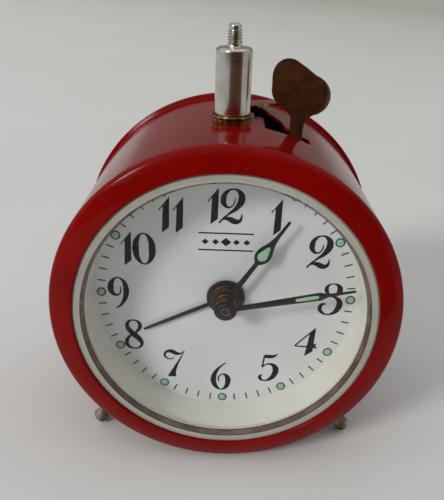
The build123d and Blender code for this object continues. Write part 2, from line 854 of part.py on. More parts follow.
# The hammer's plate in (x, z): a broad lobed head on a stem that comes up through the slot.
head = [(19.5, 47.2), (20.4, 49.0), (22.4, 50.8), (24.2, 53.0), (25.0, 56.2), (24.1, 59.4), (21.7, 61.2)]
head += [(18.4, 63.5), (15.0, 65.1), (12.2, 64.3), (10.7, 62.2), (10.4, 58.6), (10.8, 55.0), (13.4, 52.2)]
with BuildPart() as hammer:
    with BuildSketch(across(hammer_back)) as blade:
        with BuildLine():
            Spline(head)
            Polyline(head[-1], (15.5, 51.0), (15.9, 49.6), (15.9, 46), (16.3, 26), (19.5, 26), head[0])
        make_face()
        with Locations(hammer_at):
            Circle(2.6)
            Circle(1.0, mode=Mode.SUBTRACT)
    extrude(blade.sketch, amount=hammer_back - hammer_front)
    weight_at = (21.2, 55.4)
    bars([weight_at], hammer_front, hammer_back, 1.2, mode=Mode.SUBTRACT)

with BuildPart() as hammer_weight:
    turn(
        [
            (hammer_back, 0),
            (hammer_back, 5.5),
            (hammer_back + 2.4, 5.5),
            (hammer_back + 3.0, 4.9),
            (hammer_back + 3.0, 0),
        ],
        weight_at,
    )
    bars([weight_at], hammer_front, hammer_back, 1.2)

# ---------------------------------------------------------------- alarm stop lever
strip_t = 0.8
strip_front = 32.9
blade_z = 48.7
with BuildPart() as stop_lever:
    bars([stop_pivot_at], strip_front, strip_front + strip_t, 2.6)
    strip_left, strip_right = -1.5, 2.5
    blade_top_z = blade_z + strip_t
    upright = [(strip_left, 33), (strip_right, 33), (strip_right, blade_top_z), (strip_left, blade_top_z)]
    outline(upright, strip_front, strip_front + strip_t)
    with BuildSketch(Plane.XY.offset(axis_z + blade_z)) as blade_top:
        with BuildLine():
            Polyline(
                (16.6, dial_y + 32.2),
                (12.6, dial_y + 31.2),
                (9.9, dial_y + 29.8),
                (8.2, dial_y + 27.8),
                (strip_left, dial_y + 27.4),
                (strip_left, dial_y + strip_front + strip_t),
                (14.5, dial_y + 36.4),
            )
            ThreePointArc((14.5, dial_y + 36.4), (17.3, dial_y + 35.0), (16.6, dial_y + 32.2))
        make_face()
    extrude(blade_top.sketch, amount=strip_t)
    bars([stop_pivot_at], strip_front - 1, strip_front + 2, 1.2 + run_gap, mode=Mode.SUBTRACT)

with BuildPart() as stop_lever_rivet:
    bars([stop_pivot_at], back_plate, strip_front + strip_t + 0.2, 1.2)
    bars([stop_pivot_at], back_outside, strip_front - 0.1, 2.2)
    bars([stop_pivot_at], strip_front + strip_t + 0.2, strip_front + strip_t + 0.9, 2.0)


def make_knob(at, bore):
    """A knurled setting knob pressed on the end of its arbor."""
    with BuildPart() as knob:
        toothed(at, 48.6, 54.6, 36, 0.25, 0, root_share=0.4, tip_share=0.2, addendum=0.0)
        bars([at], 48.0, 48.6, 2.6)
        bars([at], 47, 57, bore, mode=Mode.SUBTRACT)
    return knob


time_set_knob = make_knob(centre, centre_r)
alarm_set_knob = make_knob(alarm_set_at, 1.0)

pieces = {
    "case_shell": case_shell,
    "crystal": crystal,
    "reflector_ring": reflector_ring,
    "dial": dial,
    "dial_feet": dial_feet,
    "back_cover": back_cover,
    "cover_screws": cover_screws,
    "back_posts": back_posts,
    "feet": feet,
    "foot_nuts": foot_nuts,
    "bell_post": bell_post,
    "post_collar": post_collar,
    "post_nut": post_nut,
    "front_plate": front_plate_part,
    "back_plate": back_plate_part,
    "pillars": pillars,
    "pillar_nuts": pillar_nuts,
    "minute_wheel_stud": minute_wheel_stud,
    "centre_arbor": centre_arbor,
    "cannon_pinion": cannon_pinion,
    "minute_wheel": minute_wheel,
    "hour_wheel": hour_wheel,
    "alarm_wheel": alarm_wheel,
    "alarm_set_arbor": alarm_set_arbor,
    "minute_hand": minute_hand,
    "hour_hand": hour_hand,
    "alarm_hand": alarm_hand,
    "time_great_wheel": time_great_wheel,
    "time_click": time_click,
    "time_winding_arbor": time_winding_arbor,
    "time_key": time_key,
    "time_mainspring": time_mainspring,
    "alarm_great_wheel": alarm_great_wheel,
    "alarm_click": alarm_click,
    "alarm_winding_arbor": alarm_winding_arbor,
    "alarm_key": alarm_key,
    "alarm_mainspring": alarm_mainspring,
    "centre_pinion": centre_pinion,
    "centre_wheel": centre_wheel,
    "third_pinion": third_pinion,
    "third_wheel": third_wheel,
    "fourth_pinion": fourth_pinion,
    "fourth_wheel": fourth_wheel,
    "escape_pinion": escape_pinion,
    "escape_wheel": escape_wheel,
    "pallet_lever": pallet_lever,
    "pallet_arbor": pallet_arbor,
    "balance_wheel": balance_wheel,
    "balance_staff": balance_staff,
    "hairspring": hairspring,
    "balance_screws": balance_screws,
    "regulator_lever": regulator_lever,
    "alarm_escape_wheel": alarm_escape_wheel,
    "hammer_arbor": hammer_arbor,
    "hammer": hammer,
    "hammer_weight": hammer_weight,
    "stop_lever": stop_lever,
    "stop_lever_rivet": stop_lever_rivet,
    "time_set_knob": time_set_knob,
    "alarm_set_knob": alarm_set_knob,
}
for name, piece in pieces.items():
    piece.part.label = name
    export_step(piece.part, f"parts/{name}.step")
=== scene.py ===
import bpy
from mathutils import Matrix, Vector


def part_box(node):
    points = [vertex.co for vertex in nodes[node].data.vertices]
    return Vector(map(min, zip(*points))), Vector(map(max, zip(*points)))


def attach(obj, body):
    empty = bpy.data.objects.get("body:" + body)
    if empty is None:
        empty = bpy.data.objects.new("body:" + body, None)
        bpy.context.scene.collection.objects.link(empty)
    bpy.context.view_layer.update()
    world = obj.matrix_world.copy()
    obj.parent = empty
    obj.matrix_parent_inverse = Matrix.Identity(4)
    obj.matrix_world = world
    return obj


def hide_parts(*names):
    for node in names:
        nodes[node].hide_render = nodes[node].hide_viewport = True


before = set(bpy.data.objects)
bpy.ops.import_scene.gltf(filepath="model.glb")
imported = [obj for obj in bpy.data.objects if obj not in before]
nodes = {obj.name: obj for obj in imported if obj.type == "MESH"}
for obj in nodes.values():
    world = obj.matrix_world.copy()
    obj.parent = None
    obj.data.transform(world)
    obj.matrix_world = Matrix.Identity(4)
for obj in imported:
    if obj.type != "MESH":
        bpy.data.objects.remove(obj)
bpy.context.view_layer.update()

import math
import bpy
import bmesh
from mathutils import Matrix, Vector

mm = 0.001
scene = bpy.context.scene
scene.view_settings.view_transform = "Standard"

dialLow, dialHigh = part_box("dial")
studLow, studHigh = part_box("bell_post")
hubHeight = (dialLow.z + dialHigh.z) / 2
postPlace = (studLow + studHigh) / 2

# Frames that the pieces are drawn in, in millimetres.
# faceFrame: x right, y up, z towards the viewer, from the hands' centre on the dial.
# behindFrame: the same seen from behind, x to that viewer's right, y up, z backwards.
# plainFrame: x right, y backwards, z up, from the hands' centre on the dial.
# postFrame: z up the bell post, from the height of the hands' centre.
handsCentre = Matrix.Translation((0, dialLow.y, hubHeight))
standing = Matrix.Rotation(math.pi / 2, 4, "X")
inMillimetres = Matrix.Scale(mm, 4)
faceFrame = handsCentre @ standing @ inMillimetres
behindFrame = handsCentre @ Matrix.Rotation(math.pi, 4, "Z") @ standing @ inMillimetres
plainFrame = handsCentre @ inMillimetres
postFrame = Matrix.Translation((0, postPlace.y, hubHeight)) @ inMillimetres

# Points nearer than this are welded, and nearer to a cut than this are on it, in millimetres.
weldDistance = 0.0005
cutDistance = 0.0001


# Camera and light.
cameraLook = {
    # place in millimetres, turn in degrees, nearest distance in metres
    "place": (-0.727, -180.75, 136.25), "turn": (65.287, -1.687, 1.068), "lens": 44.64, "near": 0.01,
}
lightLook = {
    # the window's light: where it comes from, how soft it is, in degrees across
    "window": {"from": (-0.64, -0.62, 0.45), "strength": 1.5, "softness": 13, "colour": "#fffefc"},
    # tones all round the horizon, from behind by the left to the front, the right and behind again
    "round": [(0.0, "#8b8b89"), (0.12, "#949491"), (0.2, "#e2e3e0"), (0.38, "#cfd0cd"), (0.46, "#a3a29f"),
              (0.6, "#9c9b98"), (0.8, "#c8c9c7"), (0.88, "#949491"), (1.0, "#8b8b89")],
    # the tone overhead, and between which heights of the sky the horizon's tone passes into it
    "overhead": "#f0f2f4", "overheadFrom": (0.45, 0.9), "strength": 0.9,
    # corners, in metres, of a dark brown board on the table in front and of a card standing at its far
    # edge, seen only in reflections
    "board": [(-0.045, -0.11, 0.002), (-0.75, -1.6, 0.002), (2.0, -1.5, 0.002), (0.16, -0.11, 0.002)],
    "card": [(-2.2, -1.55, 0.0), (2.4, -1.55, 0.0), (2.4, -1.75, 1.1), (-2.2, -1.75, 1.1)],
    # half the side of the floor, in metres
    "floor": 6,
}


def linear(colour):
    parts = [int(colour[i:i + 2], 16) / 255 for i in (1, 3, 5)]
    return tuple(c / 12.92 if c <= 0.04045 else ((c + 0.055) / 1.055) ** 2.4 for c in parts) + (1.0,)


def add(tree, kind, settings=None, links=None):
    # a shader node with its settings, input values and links; stops are a colour ramp's
    made = tree.nodes.new("ShaderNode" + kind)
    for key, value in (settings or {}).items():
        if key == "stops":
            ramp = made.color_ramp
            ramp.elements[0].position, ramp.elements[-1].position = value[0][0], value[-1][0]
            for position, colour in value[1:-1]:
                ramp.elements.new(position)
            for element, (position, colour) in zip(ramp.elements, value):
                element.color = linear(colour)
        elif isinstance(key, int) or key in made.inputs:
            made.inputs[key].default_value = value
        else:
            setattr(made, key, value)
    for key, source in (links or {}).items():
        tree.links.new(source, made.inputs[key])
    return made


camera = bpy.data.objects.new("camera", bpy.data.cameras.new("camera"))
camera.data.lens = cameraLook["lens"]
camera.data.clip_start = cameraLook["near"]
camera.location = Vector(cameraLook["place"]) * mm
camera.rotation_euler = [math.radians(turn) for turn in cameraLook["turn"]]
scene.collection.objects.link(camera)
scene.camera = camera

daylight = lightLook["window"]
lamp = bpy.data.lights.new("window", "SUN")
lamp.energy = daylight["strength"]
lamp.angle = math.radians(daylight["softness"])
lamp.color = linear(daylight["colour"])[:3]
holder = bpy.data.objects.new("window", lamp)
holder.rotation_euler = Vector(daylight["from"]).to_track_quat("Z", "Y").to_euler()
scene.collection.objects.link(holder)

# A room that is grey in front of the clock and behind it, bright at both sides and pale overhead.
room = bpy.data.worlds.new("paleRoom")
scene.world = room
room.use_nodes = True
tree = room.node_tree
tree.nodes.clear()
facing = add(tree, "SeparateXYZ", {}, {"Vector": add(tree, "TexCoord").outputs["Generated"]})
toFront = add(tree, "Math", {"operation": "MULTIPLY", 1: -1.0}, {0: facing.outputs["Y"]})
turn = add(tree, "Math", {"operation": "ARCTAN2"}, {0: facing.outputs["X"], 1: toFront.outputs[0]})
share = add(tree, "MapRange", {"From Min": -math.pi, "From Max": math.pi}, {"Value": turn.outputs[0]})
horizon = add(tree, "ValToRGB", {"stops": lightLook["round"]}, {"Fac": share.outputs["Result"]})
upward = add(tree, "MapRange", dict(zip(("From Min", "From Max"), lightLook["overheadFrom"])),
             {"Value": facing.outputs["Z"]})
tone = add(tree, "Mix", {"data_type": "RGBA", 7: linear(lightLook["overhead"])},
           {0: upward.outputs["Result"], 6: horizon.outputs["Color"]})
glow = add(tree, "Background", {"Strength": lightLook["strength"]}, {"Color": tone.outputs[2]})
add(tree, "OutputWorld", {}, {"Surface": glow.outputs["Background"]})
print("camera and light")


# Finishes, with sizes in millimetres: tones (two colours, or a ramp's places and colours) over patches,
# specks for dust and pits (size, threshold, colour, strength), rubPatch for the roughness, grain and
# relief for the bump.
finishMakeup = {"speckEdge": 0.05, "noiseLow": 0.3, "noiseHigh": 0.7, "relief": 0.02, "stretch": (1, 1, 1)}


def noise(tree, size, detail, place):
    made = add(tree, "TexNoise", {"Scale": 1 / (size * mm), "Detail": detail}, {"Vector": place})
    return made.outputs["Fac"]


def blend(tree, share, tone, colour):
    # the tone passes into the colour by the share
    return add(tree, "Mix", {"data_type": "RGBA", 7: linear(colour)}, {0: share, 6: tone}).outputs[2]


def finishOf(name, look):
    material = bpy.data.materials.new(name)
    material.use_nodes = True
    tree = material.node_tree
    tree.nodes.clear()
    place = add(tree, "TexCoord").outputs["Object"]
    stretch = {"Scale": look.get("stretch", finishMakeup["stretch"])}
    along = add(tree, "Mapping", stretch, {"Vector": place}).outputs["Vector"]
    cloud = noise(tree, look["patch"], 4.0, place)
    tones = look["tones"]
    if len(tones) == 2 and isinstance(tones[0], str):
        tones = [(finishMakeup["noiseLow"], tones[0]), (finishMakeup["noiseHigh"], tones[1])]
    tone = add(tree, "ValToRGB", {"stops": tones}, {"Fac": cloud}).outputs["Color"]
    for size, threshold, colour, strength in look.get("specks", []):
        speck = {"From Min": threshold, "From Max": threshold + finishMakeup["speckEdge"], "To Max": strength}
        seen = add(tree, "MapRange", speck, {"Value": noise(tree, size, 1.0, place)})
        tone = blend(tree, seen.outputs["Result"], tone, colour)
    if "paintedShade" in look:
        # painted shade: a slow change of tone along one direction of the piece, between two distances in
        # metres
        direction, start, end, colour = look["paintedShade"]
        distance = add(tree, "VectorMath", {"operation": "DOT_PRODUCT", 1: direction}, {0: place})
        far = add(tree, "MapRange", {"From Min": start, "From Max": end},
                  {"Value": distance.outputs["Value"]})
        tone = blend(tree, far.outputs["Result"], tone, colour)
    smooth, matt = look["rough"]
    rubbed = {"From Min": finishMakeup["noiseLow"], "From Max": finishMakeup["noiseHigh"], "To Min": smooth,
              "To Max": matt}
    rough = add(tree, "MapRange", rubbed, {"Value": noise(tree, look["rubPatch"], 3.0, along)})
    relief = {"Strength": look["bump"], "Distance": look.get("relief", finishMakeup["relief"]) * mm}
    bump = add(tree, "Bump", relief, {"Height": noise(tree, look["grain"], 2.0, along)})
    shader = add(tree, "BsdfPrincipled", {"Metallic": look.get("metal", 0.0), **look.get("shader", {})},
                 {"Base Color": tone, "Roughness": rough.outputs["Result"], "Normal": bump.outputs["Normal"]})
    add(tree, "OutputMaterial", {}, {"Surface": shader.outputs["BSDF"]})
    return material


# Stove enamel on drawn steel: glossy deep red, a soft orange peel of about a millimetre, fine dust.
redEnamel = finishOf("redStoveEnamel", {
    "tones": ("#6e0401", "#7c0602"), "patch": 14, "rough": (0.1, 0.18), "rubPatch": 9,
    "grain": 1.1, "bump": 0.1, "specks": [(0.5, 0.74, "#b86a60", 0.25)],
    "shader": {"Specular IOR Level": 0.14, "IOR": 1.45}})

# Injection-moulded cream polystyrene, a little yellowed in patches.
creamPlastic = finishOf("creamPolystyrene", {
    "tones": ("#dad9cf", "#d2d0c4"), "patch": 20, "rough": (0.32, 0.45), "rubPatch": 6,
    "grain": 0.6, "bump": 0.1, "specks": [(0.9, 0.73, "#9c9484", 0.35)]})

# White lacquer printed on a steel disc, with a few specks of dust and age.
dialLacquer = finishOf("whiteDialLacquer", {
    "tones": ("#cbcdcd", "#d5d7d8"), "patch": 22, "rough": (0.4, 0.5), "rubPatch": 8,
    "grain": 0.25, "bump": 0.08, "specks": [(0.8, 0.755, "#7d7c74", 0.7), (0.35, 0.75, "#a8a79f", 0.5)]})

# Screen-printing ink, a dry near-black.
printInk = finishOf("blackPrintingInk", {
    "tones": ("#08090a", "#101112"), "patch": 3, "rough": (0.5, 0.65), "rubPatch": 1,
    "grain": 0.2, "bump": 0.2, "shader": {"Specular IOR Level": 0.2}})

# Luminous compound: a chalky pale green paste, a little uneven where it was laid in.
luminousPaste = finishOf("luminousPaste", {
    "tones": ("#82ad92", "#9ac6a6"), "patch": 0.9, "rough": (0.6, 0.75), "rubPatch": 1,
    "grain": 0.25, "bump": 0.5, "relief": 0.03})

# Baked black lacquer on blanked brass: satin, rubbed a little at the handling spots.
handLacquer = finishOf("blackHandLacquer", {
    "tones": ("#101010", "#1c1b1a"), "patch": 1.5, "rough": (0.28, 0.42), "rubPatch": 0.8,
    "grain": 0.3, "bump": 0.15, "specks": [(0.25, 0.74, "#6b665c", 0.6)]})

# Polished nickel plate on a turned post: streaked, pitted and warm where it has dulled.
nickelPlate = finishOf("nickelPlate", {
    "tones": ("#b4aea4", "#d4d0c8"), "patch": 5, "rough": (0.14, 0.28), "rubPatch": 1.6,
    "grain": 0.5, "bump": 0.08, "stretch": (1, 1, 4), "specks": [(0.32, 0.71, "#5a5148", 0.75)],
    "metal": 1.0})

# Nickel-plated steel lid of the back, pressed and lightly brushed.
coverSteel = finishOf("nickelPlatedLid", {
    "tones": ("#a9a69e", "#b9b6af"), "patch": 18, "rough": (0.26, 0.36), "rubPatch": 4,
    "grain": 0.5, "bump": 0.06, "stretch": (0.12, 1, 1), "specks": [(0.7, 0.74, "#77736b", 0.4)],
    "metal": 1.0})

# Nickel-plated keys and knobs, brighter on the rubbed edges.
keyNickel = finishOf("nickelPlatedKey", {
    "tones": ("#b3aea3", "#cbc7be"), "patch": 3, "rough": (0.16, 0.28), "rubPatch": 1.5,
    "grain": 0.4, "bump": 0.1, "specks": [(0.3, 0.73, "#6d675d", 0.5)], "metal": 1.0})

# Turned brass left bare: golden where it was touched, brown in the corners.
agedBrass = finishOf("agedBrass", {
    "tones": [(0.32, "#5f4329"), (0.55, "#8c6c42"), (0.72, "#b99862")], "patch": 1.4,
    "rough": (0.22, 0.42), "rubPatch": 1.5, "grain": 0.3, "bump": 0.2,
    "specks": [(0.4, 0.68, "#3a2410", 0.7)], "metal": 1.0})

# Pipe ends spread over the hubs, gone dark, copper-coloured where they catch the light.
darkBronze = finishOf("darkenedPipeEnd", {
    "tones": [(0.32, "#3c2210"), (0.55, "#6a3f1e"), (0.75, "#a86a36")], "patch": 1.1,
    "rough": (0.28, 0.5), "rubPatch": 1.0, "grain": 0.3, "bump": 0.2, "specks": [(0.4, 0.62, "#1d1009", 0.8)],
    "metal": 1.0})

# Copper-brown end of the centre arbor, dulled by handling.
dulledPin = finishOf("dulledArborEnd", {
    "tones": ("#3a2218", "#6e4631"), "patch": 0.7, "rough": (0.4, 0.55), "rubPatch": 0.5,
    "grain": 0.2, "bump": 0.25, "metal": 0.8})

# Nickel on the feet, worn through to a brown base metal in patches.
wornNickel = finishOf("wornNickelPlate", {
    "tones": [(0.4, "#4f3a26"), (0.52, "#7b6c58"), (0.62, "#a49c90")], "patch": 4,
    "rough": (0.22, 0.4), "rubPatch": 1.5, "grain": 0.35, "bump": 0.2, "metal": 1.0})

# Rolled clock brass of the wheels and plates, with a brushed grain.
clockBrass = finishOf("brushedClockBrass", {
    "tones": ("#a9843f", "#c9a65c"), "patch": 4, "rough": (0.28, 0.4), "rubPatch": 2,
    "grain": 0.3, "bump": 0.2, "stretch": (0.15, 1, 1), "metal": 1.0})

# Bronzed sheet steel: dark brown, almost dry, with a soft mottle.
bronzedSteel = finishOf("bronzedSheetSteel", {
    "tones": ("#2f1707", "#46240c"), "patch": 2.5, "rough": (0.5, 0.62), "rubPatch": 2,
    "grain": 0.25, "bump": 0.25, "specks": [(0.3, 0.74, "#6f4a2c", 0.5)],
    "shader": {"Specular IOR Level": 0.1}})

# Cast zinc of the hammer's weight, tarnished grey-brown.
tarnishedZinc = finishOf("tarnishedZinc", {
    "tones": ("#6f644f", "#978a6d"), "patch": 1.8, "rough": (0.35, 0.5), "rubPatch": 1.2,
    "grain": 0.35, "bump": 0.25, "metal": 0.7})

# Machined and blued steels of the movement.
brightSteel = finishOf("machinedSteel", {
    "tones": ("#8d8d8c", "#aaa9a6"), "patch": 3, "rough": (0.25, 0.38), "rubPatch": 1,
    "grain": 0.25, "bump": 0.15, "metal": 1.0})
springSteel = finishOf("temperedSpringSteel", {
    "tones": ("#4a4f5c", "#667084"), "patch": 4, "rough": (0.25, 0.35), "rubPatch": 1,
    "grain": 0.25, "bump": 0.12, "metal": 1.0})

# Clear moulded acrylic: the window lets nearly everything through under a faint haze.
clearAcrylic = finishOf("clearAcrylic", {
    "tones": ("#dfe2df", "#eceeeb"), "patch": 18, "rough": (0.04, 0.09), "rubPatch": 8,
    "grain": 5, "bump": 0.02, "shader": {"Alpha": 0.012, "IOR": 1.49}})
# The same acrylic seen through its thick shoulder, where it gathers a grey-beige tint.
shoulderAcrylic = finishOf("acrylicShoulder", {
    "tones": ("#ccc8bc", "#dad6cb"), "patch": 9, "rough": (0.06, 0.12), "rubPatch": 5,
    "grain": 2, "bump": 0.04, "shader": {"Alpha": 0.45, "IOR": 1.49}})
# The conical step between window and shoulder carries a painted reflection of the joint behind it,
# mauve-brown, between thin lines of painted shade along its edges.
stepPaintedReflection = finishOf("acrylicStep", {
    "tones": [(0.35, "#4a332d"), (0.5, "#5a433c"), (0.65, "#6e5750")], "patch": 5,
    "rough": (0.08, 0.16), "rubPatch": 2, "grain": 1, "bump": 0.05, "shader": {"Alpha": 0.9, "IOR": 1.49}})
stepEdgePaintedShade = finishOf("acrylicStepEdge", {
    "tones": [(0.35, "#38211d"), (0.65, "#4d332d")], "patch": 4, "rough": (0.1, 0.2), "rubPatch": 2,
    "grain": 1, "bump": 0.05, "shader": {"Alpha": 0.95, "IOR": 1.49}})
print("finishes")


# Shapes, all in the millimetres of their frames.
def weld(shape):
    bmesh.ops.remove_doubles(shape, verts=shape.verts, dist=weldDistance)


def faceOutward(shape):
    bmesh.ops.recalc_face_normals(shape, faces=shape.faces)


def raiseBy(shape, height):
    bmesh.ops.translate(shape, verts=shape.verts, vec=(0, 0, height))


def turned(profile, steps=192, rounds=None, closed=False):
    # profile: (radius, height) about the frame's z; rounds: corner number to its radius
    shape = bmesh.new()
    corners = [shape.verts.new((radius, 0, height)) for radius, height in profile]
    for first, second in zip(corners, corners[1:]):
        shape.edges.new((first, second))
    if closed:
        shape.edges.new((corners[-1], corners[0]))
    for number, radius in (rounds or {}).items():
        bmesh.ops.bevel(shape, geom=[corners[number]], offset=radius, offset_type="OFFSET", segments=5,
                        profile=0.5, affect="VERTICES", material=-1)
    bmesh.ops.spin(shape, geom=shape.verts[:] + shape.edges[:], cent=(0, 0, 0), axis=(0, 0, 1),
                   angle=2 * math.pi, steps=steps, use_merge=True)
    weld(shape)
    faceOutward(shape)
    return shape


def turnedByDepth(profile, steps, rounds=None, closed=False):
    # profile: (depth behind the dial, radius)
    return turned([(radius, -depth) for depth, radius in profile], steps, rounds, closed)


def circleOf(radius, place=(0, 0)):
    x, y = place
    return [(x + radius, y), (x, y + radius), (x - radius, y), (x, y - radius)]


def curveShape(splines, closed, settings):
    # a spline's point is (x, y), or (x, y, 0) for a corner, or (x, y, width) in a brush stroke
    curve = bpy.data.curves.new("outline", "CURVE")
    for key, value in settings.items():
        setattr(curve, key, value)
    for points in splines:
        spline = curve.splines.new("BEZIER")
        spline.bezier_points.add(len(points) - 1)
        spline.use_cyclic_u = closed or points[0] == points[-1]
        spline.radius_interpolation = "CARDINAL"
        for knot, point in zip(spline.bezier_points, points):
            knot.co = (point[0], point[1], 0)
            corner = len(point) == 3 and point[2] == 0
            knot.handle_left_type = knot.handle_right_type = "VECTOR" if corner else "AUTO"
            if len(point) == 3 and not corner:
                knot.radius = point[2]
                knot.tilt = math.pi / 2
    holder = bpy.data.objects.new("outline", curve)
    scene.collection.objects.link(holder)
    bpy.context.view_layer.update()
    mesh = bpy.data.meshes.new_from_object(holder)
    shape = bmesh.new()
    shape.from_mesh(mesh)
    bpy.data.meshes.remove(mesh)
    bpy.data.objects.remove(holder)
    bpy.data.curves.remove(curve)
    weld(shape)
    return shape


def plate(outlines, front, thickness, edge=0.05, resolution=12):
    # a flat blank whose front face stands at that height, its edges rounded over
    shape = curveShape(outlines, True, {
        "dimensions": "2D", "fill_mode": "BOTH", "extrude": thickness / 2 - edge, "bevel_depth": edge,
        "bevel_resolution": 1, "offset": -edge, "resolution_u": resolution})
    faceOutward(shape)
    raiseBy(shape, front - thickness / 2)
    return shape


def brushed(stroke, front, thickness=0.03, resolution=7):
    # one printed stroke of varying width, given as its full width at each point
    shape = curveShape([stroke], False, {
        "dimensions": "3D", "twist_mode": "Z_UP", "extrude": 0.5, "resolution_u": resolution})
    for face in shape.faces:
        if face.normal.z < 0:
            face.normal_flip()
    bmesh.ops.solidify(shape, geom=shape.faces[:], thickness=thickness)
    faceOutward(shape)
    top = max(v.co.z for v in shape.verts)
    raiseBy(shape, front - top)
    return shape


def bar(size, place):
    shape = bmesh.new()
    bmesh.ops.create_cube(shape, size=1)
    bmesh.ops.scale(shape, verts=shape.verts, vec=size)
    bmesh.ops.translate(shape, verts=shape.verts, vec=place)
    return shape


def eyeShape(look, front):
    # the round eye of a blanked part about its pivot, a hair proud of the blank
    circles = [circleOf(look["eye"], look["pivot"]), circleOf(look["bore"], look["pivot"])]
    return plate(circles, front + look["eyeRise"], look["thick"], look["eyeEdge"])


def only(kind, made):
    return [item for item in made["geom"] if isinstance(item, kind)]


def moveInto(shape, added):
    # takes the added shape into the first one
    part = bpy.data.meshes.new("part")
    added.to_mesh(part)
    added.free()
    shape.from_mesh(part)
    bpy.data.meshes.remove(part)


def piece(name, shapes, paints, body, stands=(), sharp=32):
    # shapes: a shape in faceFrame with the first paint, or (shape, frame, paint number, or none where its
    # faces have theirs); stands: the nodes it replaces
    whole = bmesh.new()
    for item in shapes:
        shape, frameOf, number = item if isinstance(item, tuple) else (item, faceFrame, 0)
        if number is not None:
            for face in shape.faces:
                face.material_index = number
        bmesh.ops.transform(shape, matrix=frameOf, verts=shape.verts)
        moveInto(whole, shape)
    mesh = bpy.data.meshes.new(name)
    whole.to_mesh(mesh)
    whole.free()
    for paint in paints:
        mesh.materials.append(paint)
    mesh.shade_smooth()
    mesh.set_sharp_from_angle(angle=math.radians(sharp))
    made = bpy.data.objects.new(name, mesh)
    scene.collection.objects.link(made)
    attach(made, body)
    if stands:
        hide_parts(*stands)
    return made


def sheetMetal(made, look, offset, even=False):
    # a surface becomes a sheet of its thickness, its edges rounded over
    wall = made.modifiers.new("sheet", "SOLIDIFY")
    wall.thickness = look["sheet"] * mm
    wall.offset = offset
    wall.use_even_offset = even
    rim = made.modifiers.new("edges", "BEVEL")
    rim.width = look["edge"] * mm
    rim.segments = 2
    rim.limit_method = "ANGLE"
    rim.angle_limit = math.radians(50)


def inside(place, corners):
    x, y = place
    found = False
    for (ax, ay), (bx, by) in zip(corners, corners[1:] + corners[:1]):
        if (ay > y) != (by > y) and x < (bx - ax) * (y - ay) / (by - ay) + ax:
            found = not found
    return found


# Case: a drawn steel drum with a slanted front ring, a rolled rear flange and the hammer's opening.
drumLook = {
    # (depth behind the dial, radius)
    "lip": [(-13.9, 41.2), (-14.65, 41.45), (-14, 44.6), (-12.75, 47.45), (-11.9, 48)],
    "rear": [(46.3, 48), (46.8, 49.3), (48.4, 49.3), (48.4, 47.9), (47.6, 47.7)],
    "rounds": {1: 0.25, 2: 1.5, 3: 0.5, 4: 0.4, -5: 0.3, -4: 0.4, -3: 0.6, -2: 0.5},
    "sheet": 0.8, "edge": 0.14, "steps": 256,
    # corners of the opening in the top, as (right, depth)
    "opening": [(9, 9), (21.8, 8.6), (21.8, 14.6), (19.6, 13.8), (15.5, 17.4), (14.4, 23.3), (11, 30.3),
                (9, 36.5), (-2.5, 36.5), (-2.5, 22), (9, 21)],
    # rings along the wall: the first one's distance from the lip, their spacing, the depth where they end,
    # and how far from the opening's sides the wall is cut
    "firstRing": 3, "cell": 2, "lastRing": 42, "cutReach": 5,
}


def drumShell(look):
    lipDepth, wallRadius = look["lip"][-1]
    depths = [lipDepth + look["firstRing"]]
    while depths[-1] < look["lastRing"]:
        depths.append(depths[-1] + look["cell"])
    line = look["lip"] + [(depth, wallRadius) for depth in depths] + look["rear"]
    rounds = {number % len(line): radius for number, radius in look["rounds"].items()}
    shape = turnedByDepth(line, look["steps"], rounds)
    side = max(shape.faces, key=lambda face: face.calc_center_median().x)
    if side.normal.x < 0:
        bmesh.ops.reverse_faces(shape, faces=shape.faces[:])
    # the wall is cut along the opening's sides, and what is inside them is taken out
    corners = look["opening"]
    reach = look["cutReach"]
    for (ax, ay), (bx, by) in zip(corners, corners[1:] + corners[:1]):
        near = []
        for face in shape.faces:
            centre = face.calc_center_median()
            if centre.y > 0 and min(ax, bx) - reach < centre.x < max(ax, bx) + reach:
                if min(ay, by) - reach < -centre.z < max(ay, by) + reach:
                    near.append(face)
        geom = set(near)
        for face in near:
            geom.update(face.edges)
            geom.update(face.verts)
        bmesh.ops.bisect_plane(shape, geom=list(geom), dist=cutDistance, plane_co=(ax, 0, -ay),
                               plane_no=(by - ay, 0, bx - ax))
    gone = []
    for face in shape.faces:
        centre = face.calc_center_median()
        if centre.y > 0 and inside((centre.x, -centre.z), corners):
            gone.append(face)
    bmesh.ops.delete(shape, geom=gone, context="FACES")
    return shape


drum = piece("redDrum", [drumShell(drumLook)], [redEnamel], "case", ["case_shell"], 40)
sheetMetal(drum, drumLook, -1, True)
print("drum")


# Reflector and window, as (depth behind the dial, radius).
reflectorLook = {
    "profile": [(0, 38), (-11.2, 39.1), (-12.2, 39.2), (-12.2, 43.2), (-11.4, 43.2), (-11.4, 40.1),
                (-0.8, 39), (-0.8, 43.2), (0, 43.2)],
    "rounds": {2: 0.3, 3: 0.2}, "steps": 256,
}
reflector = turnedByDepth(reflectorLook["profile"], reflectorLook["steps"], reflectorLook["rounds"], True)
piece("creamReflector", [reflector], [creamPlastic], "case", ["reflector_ring"])

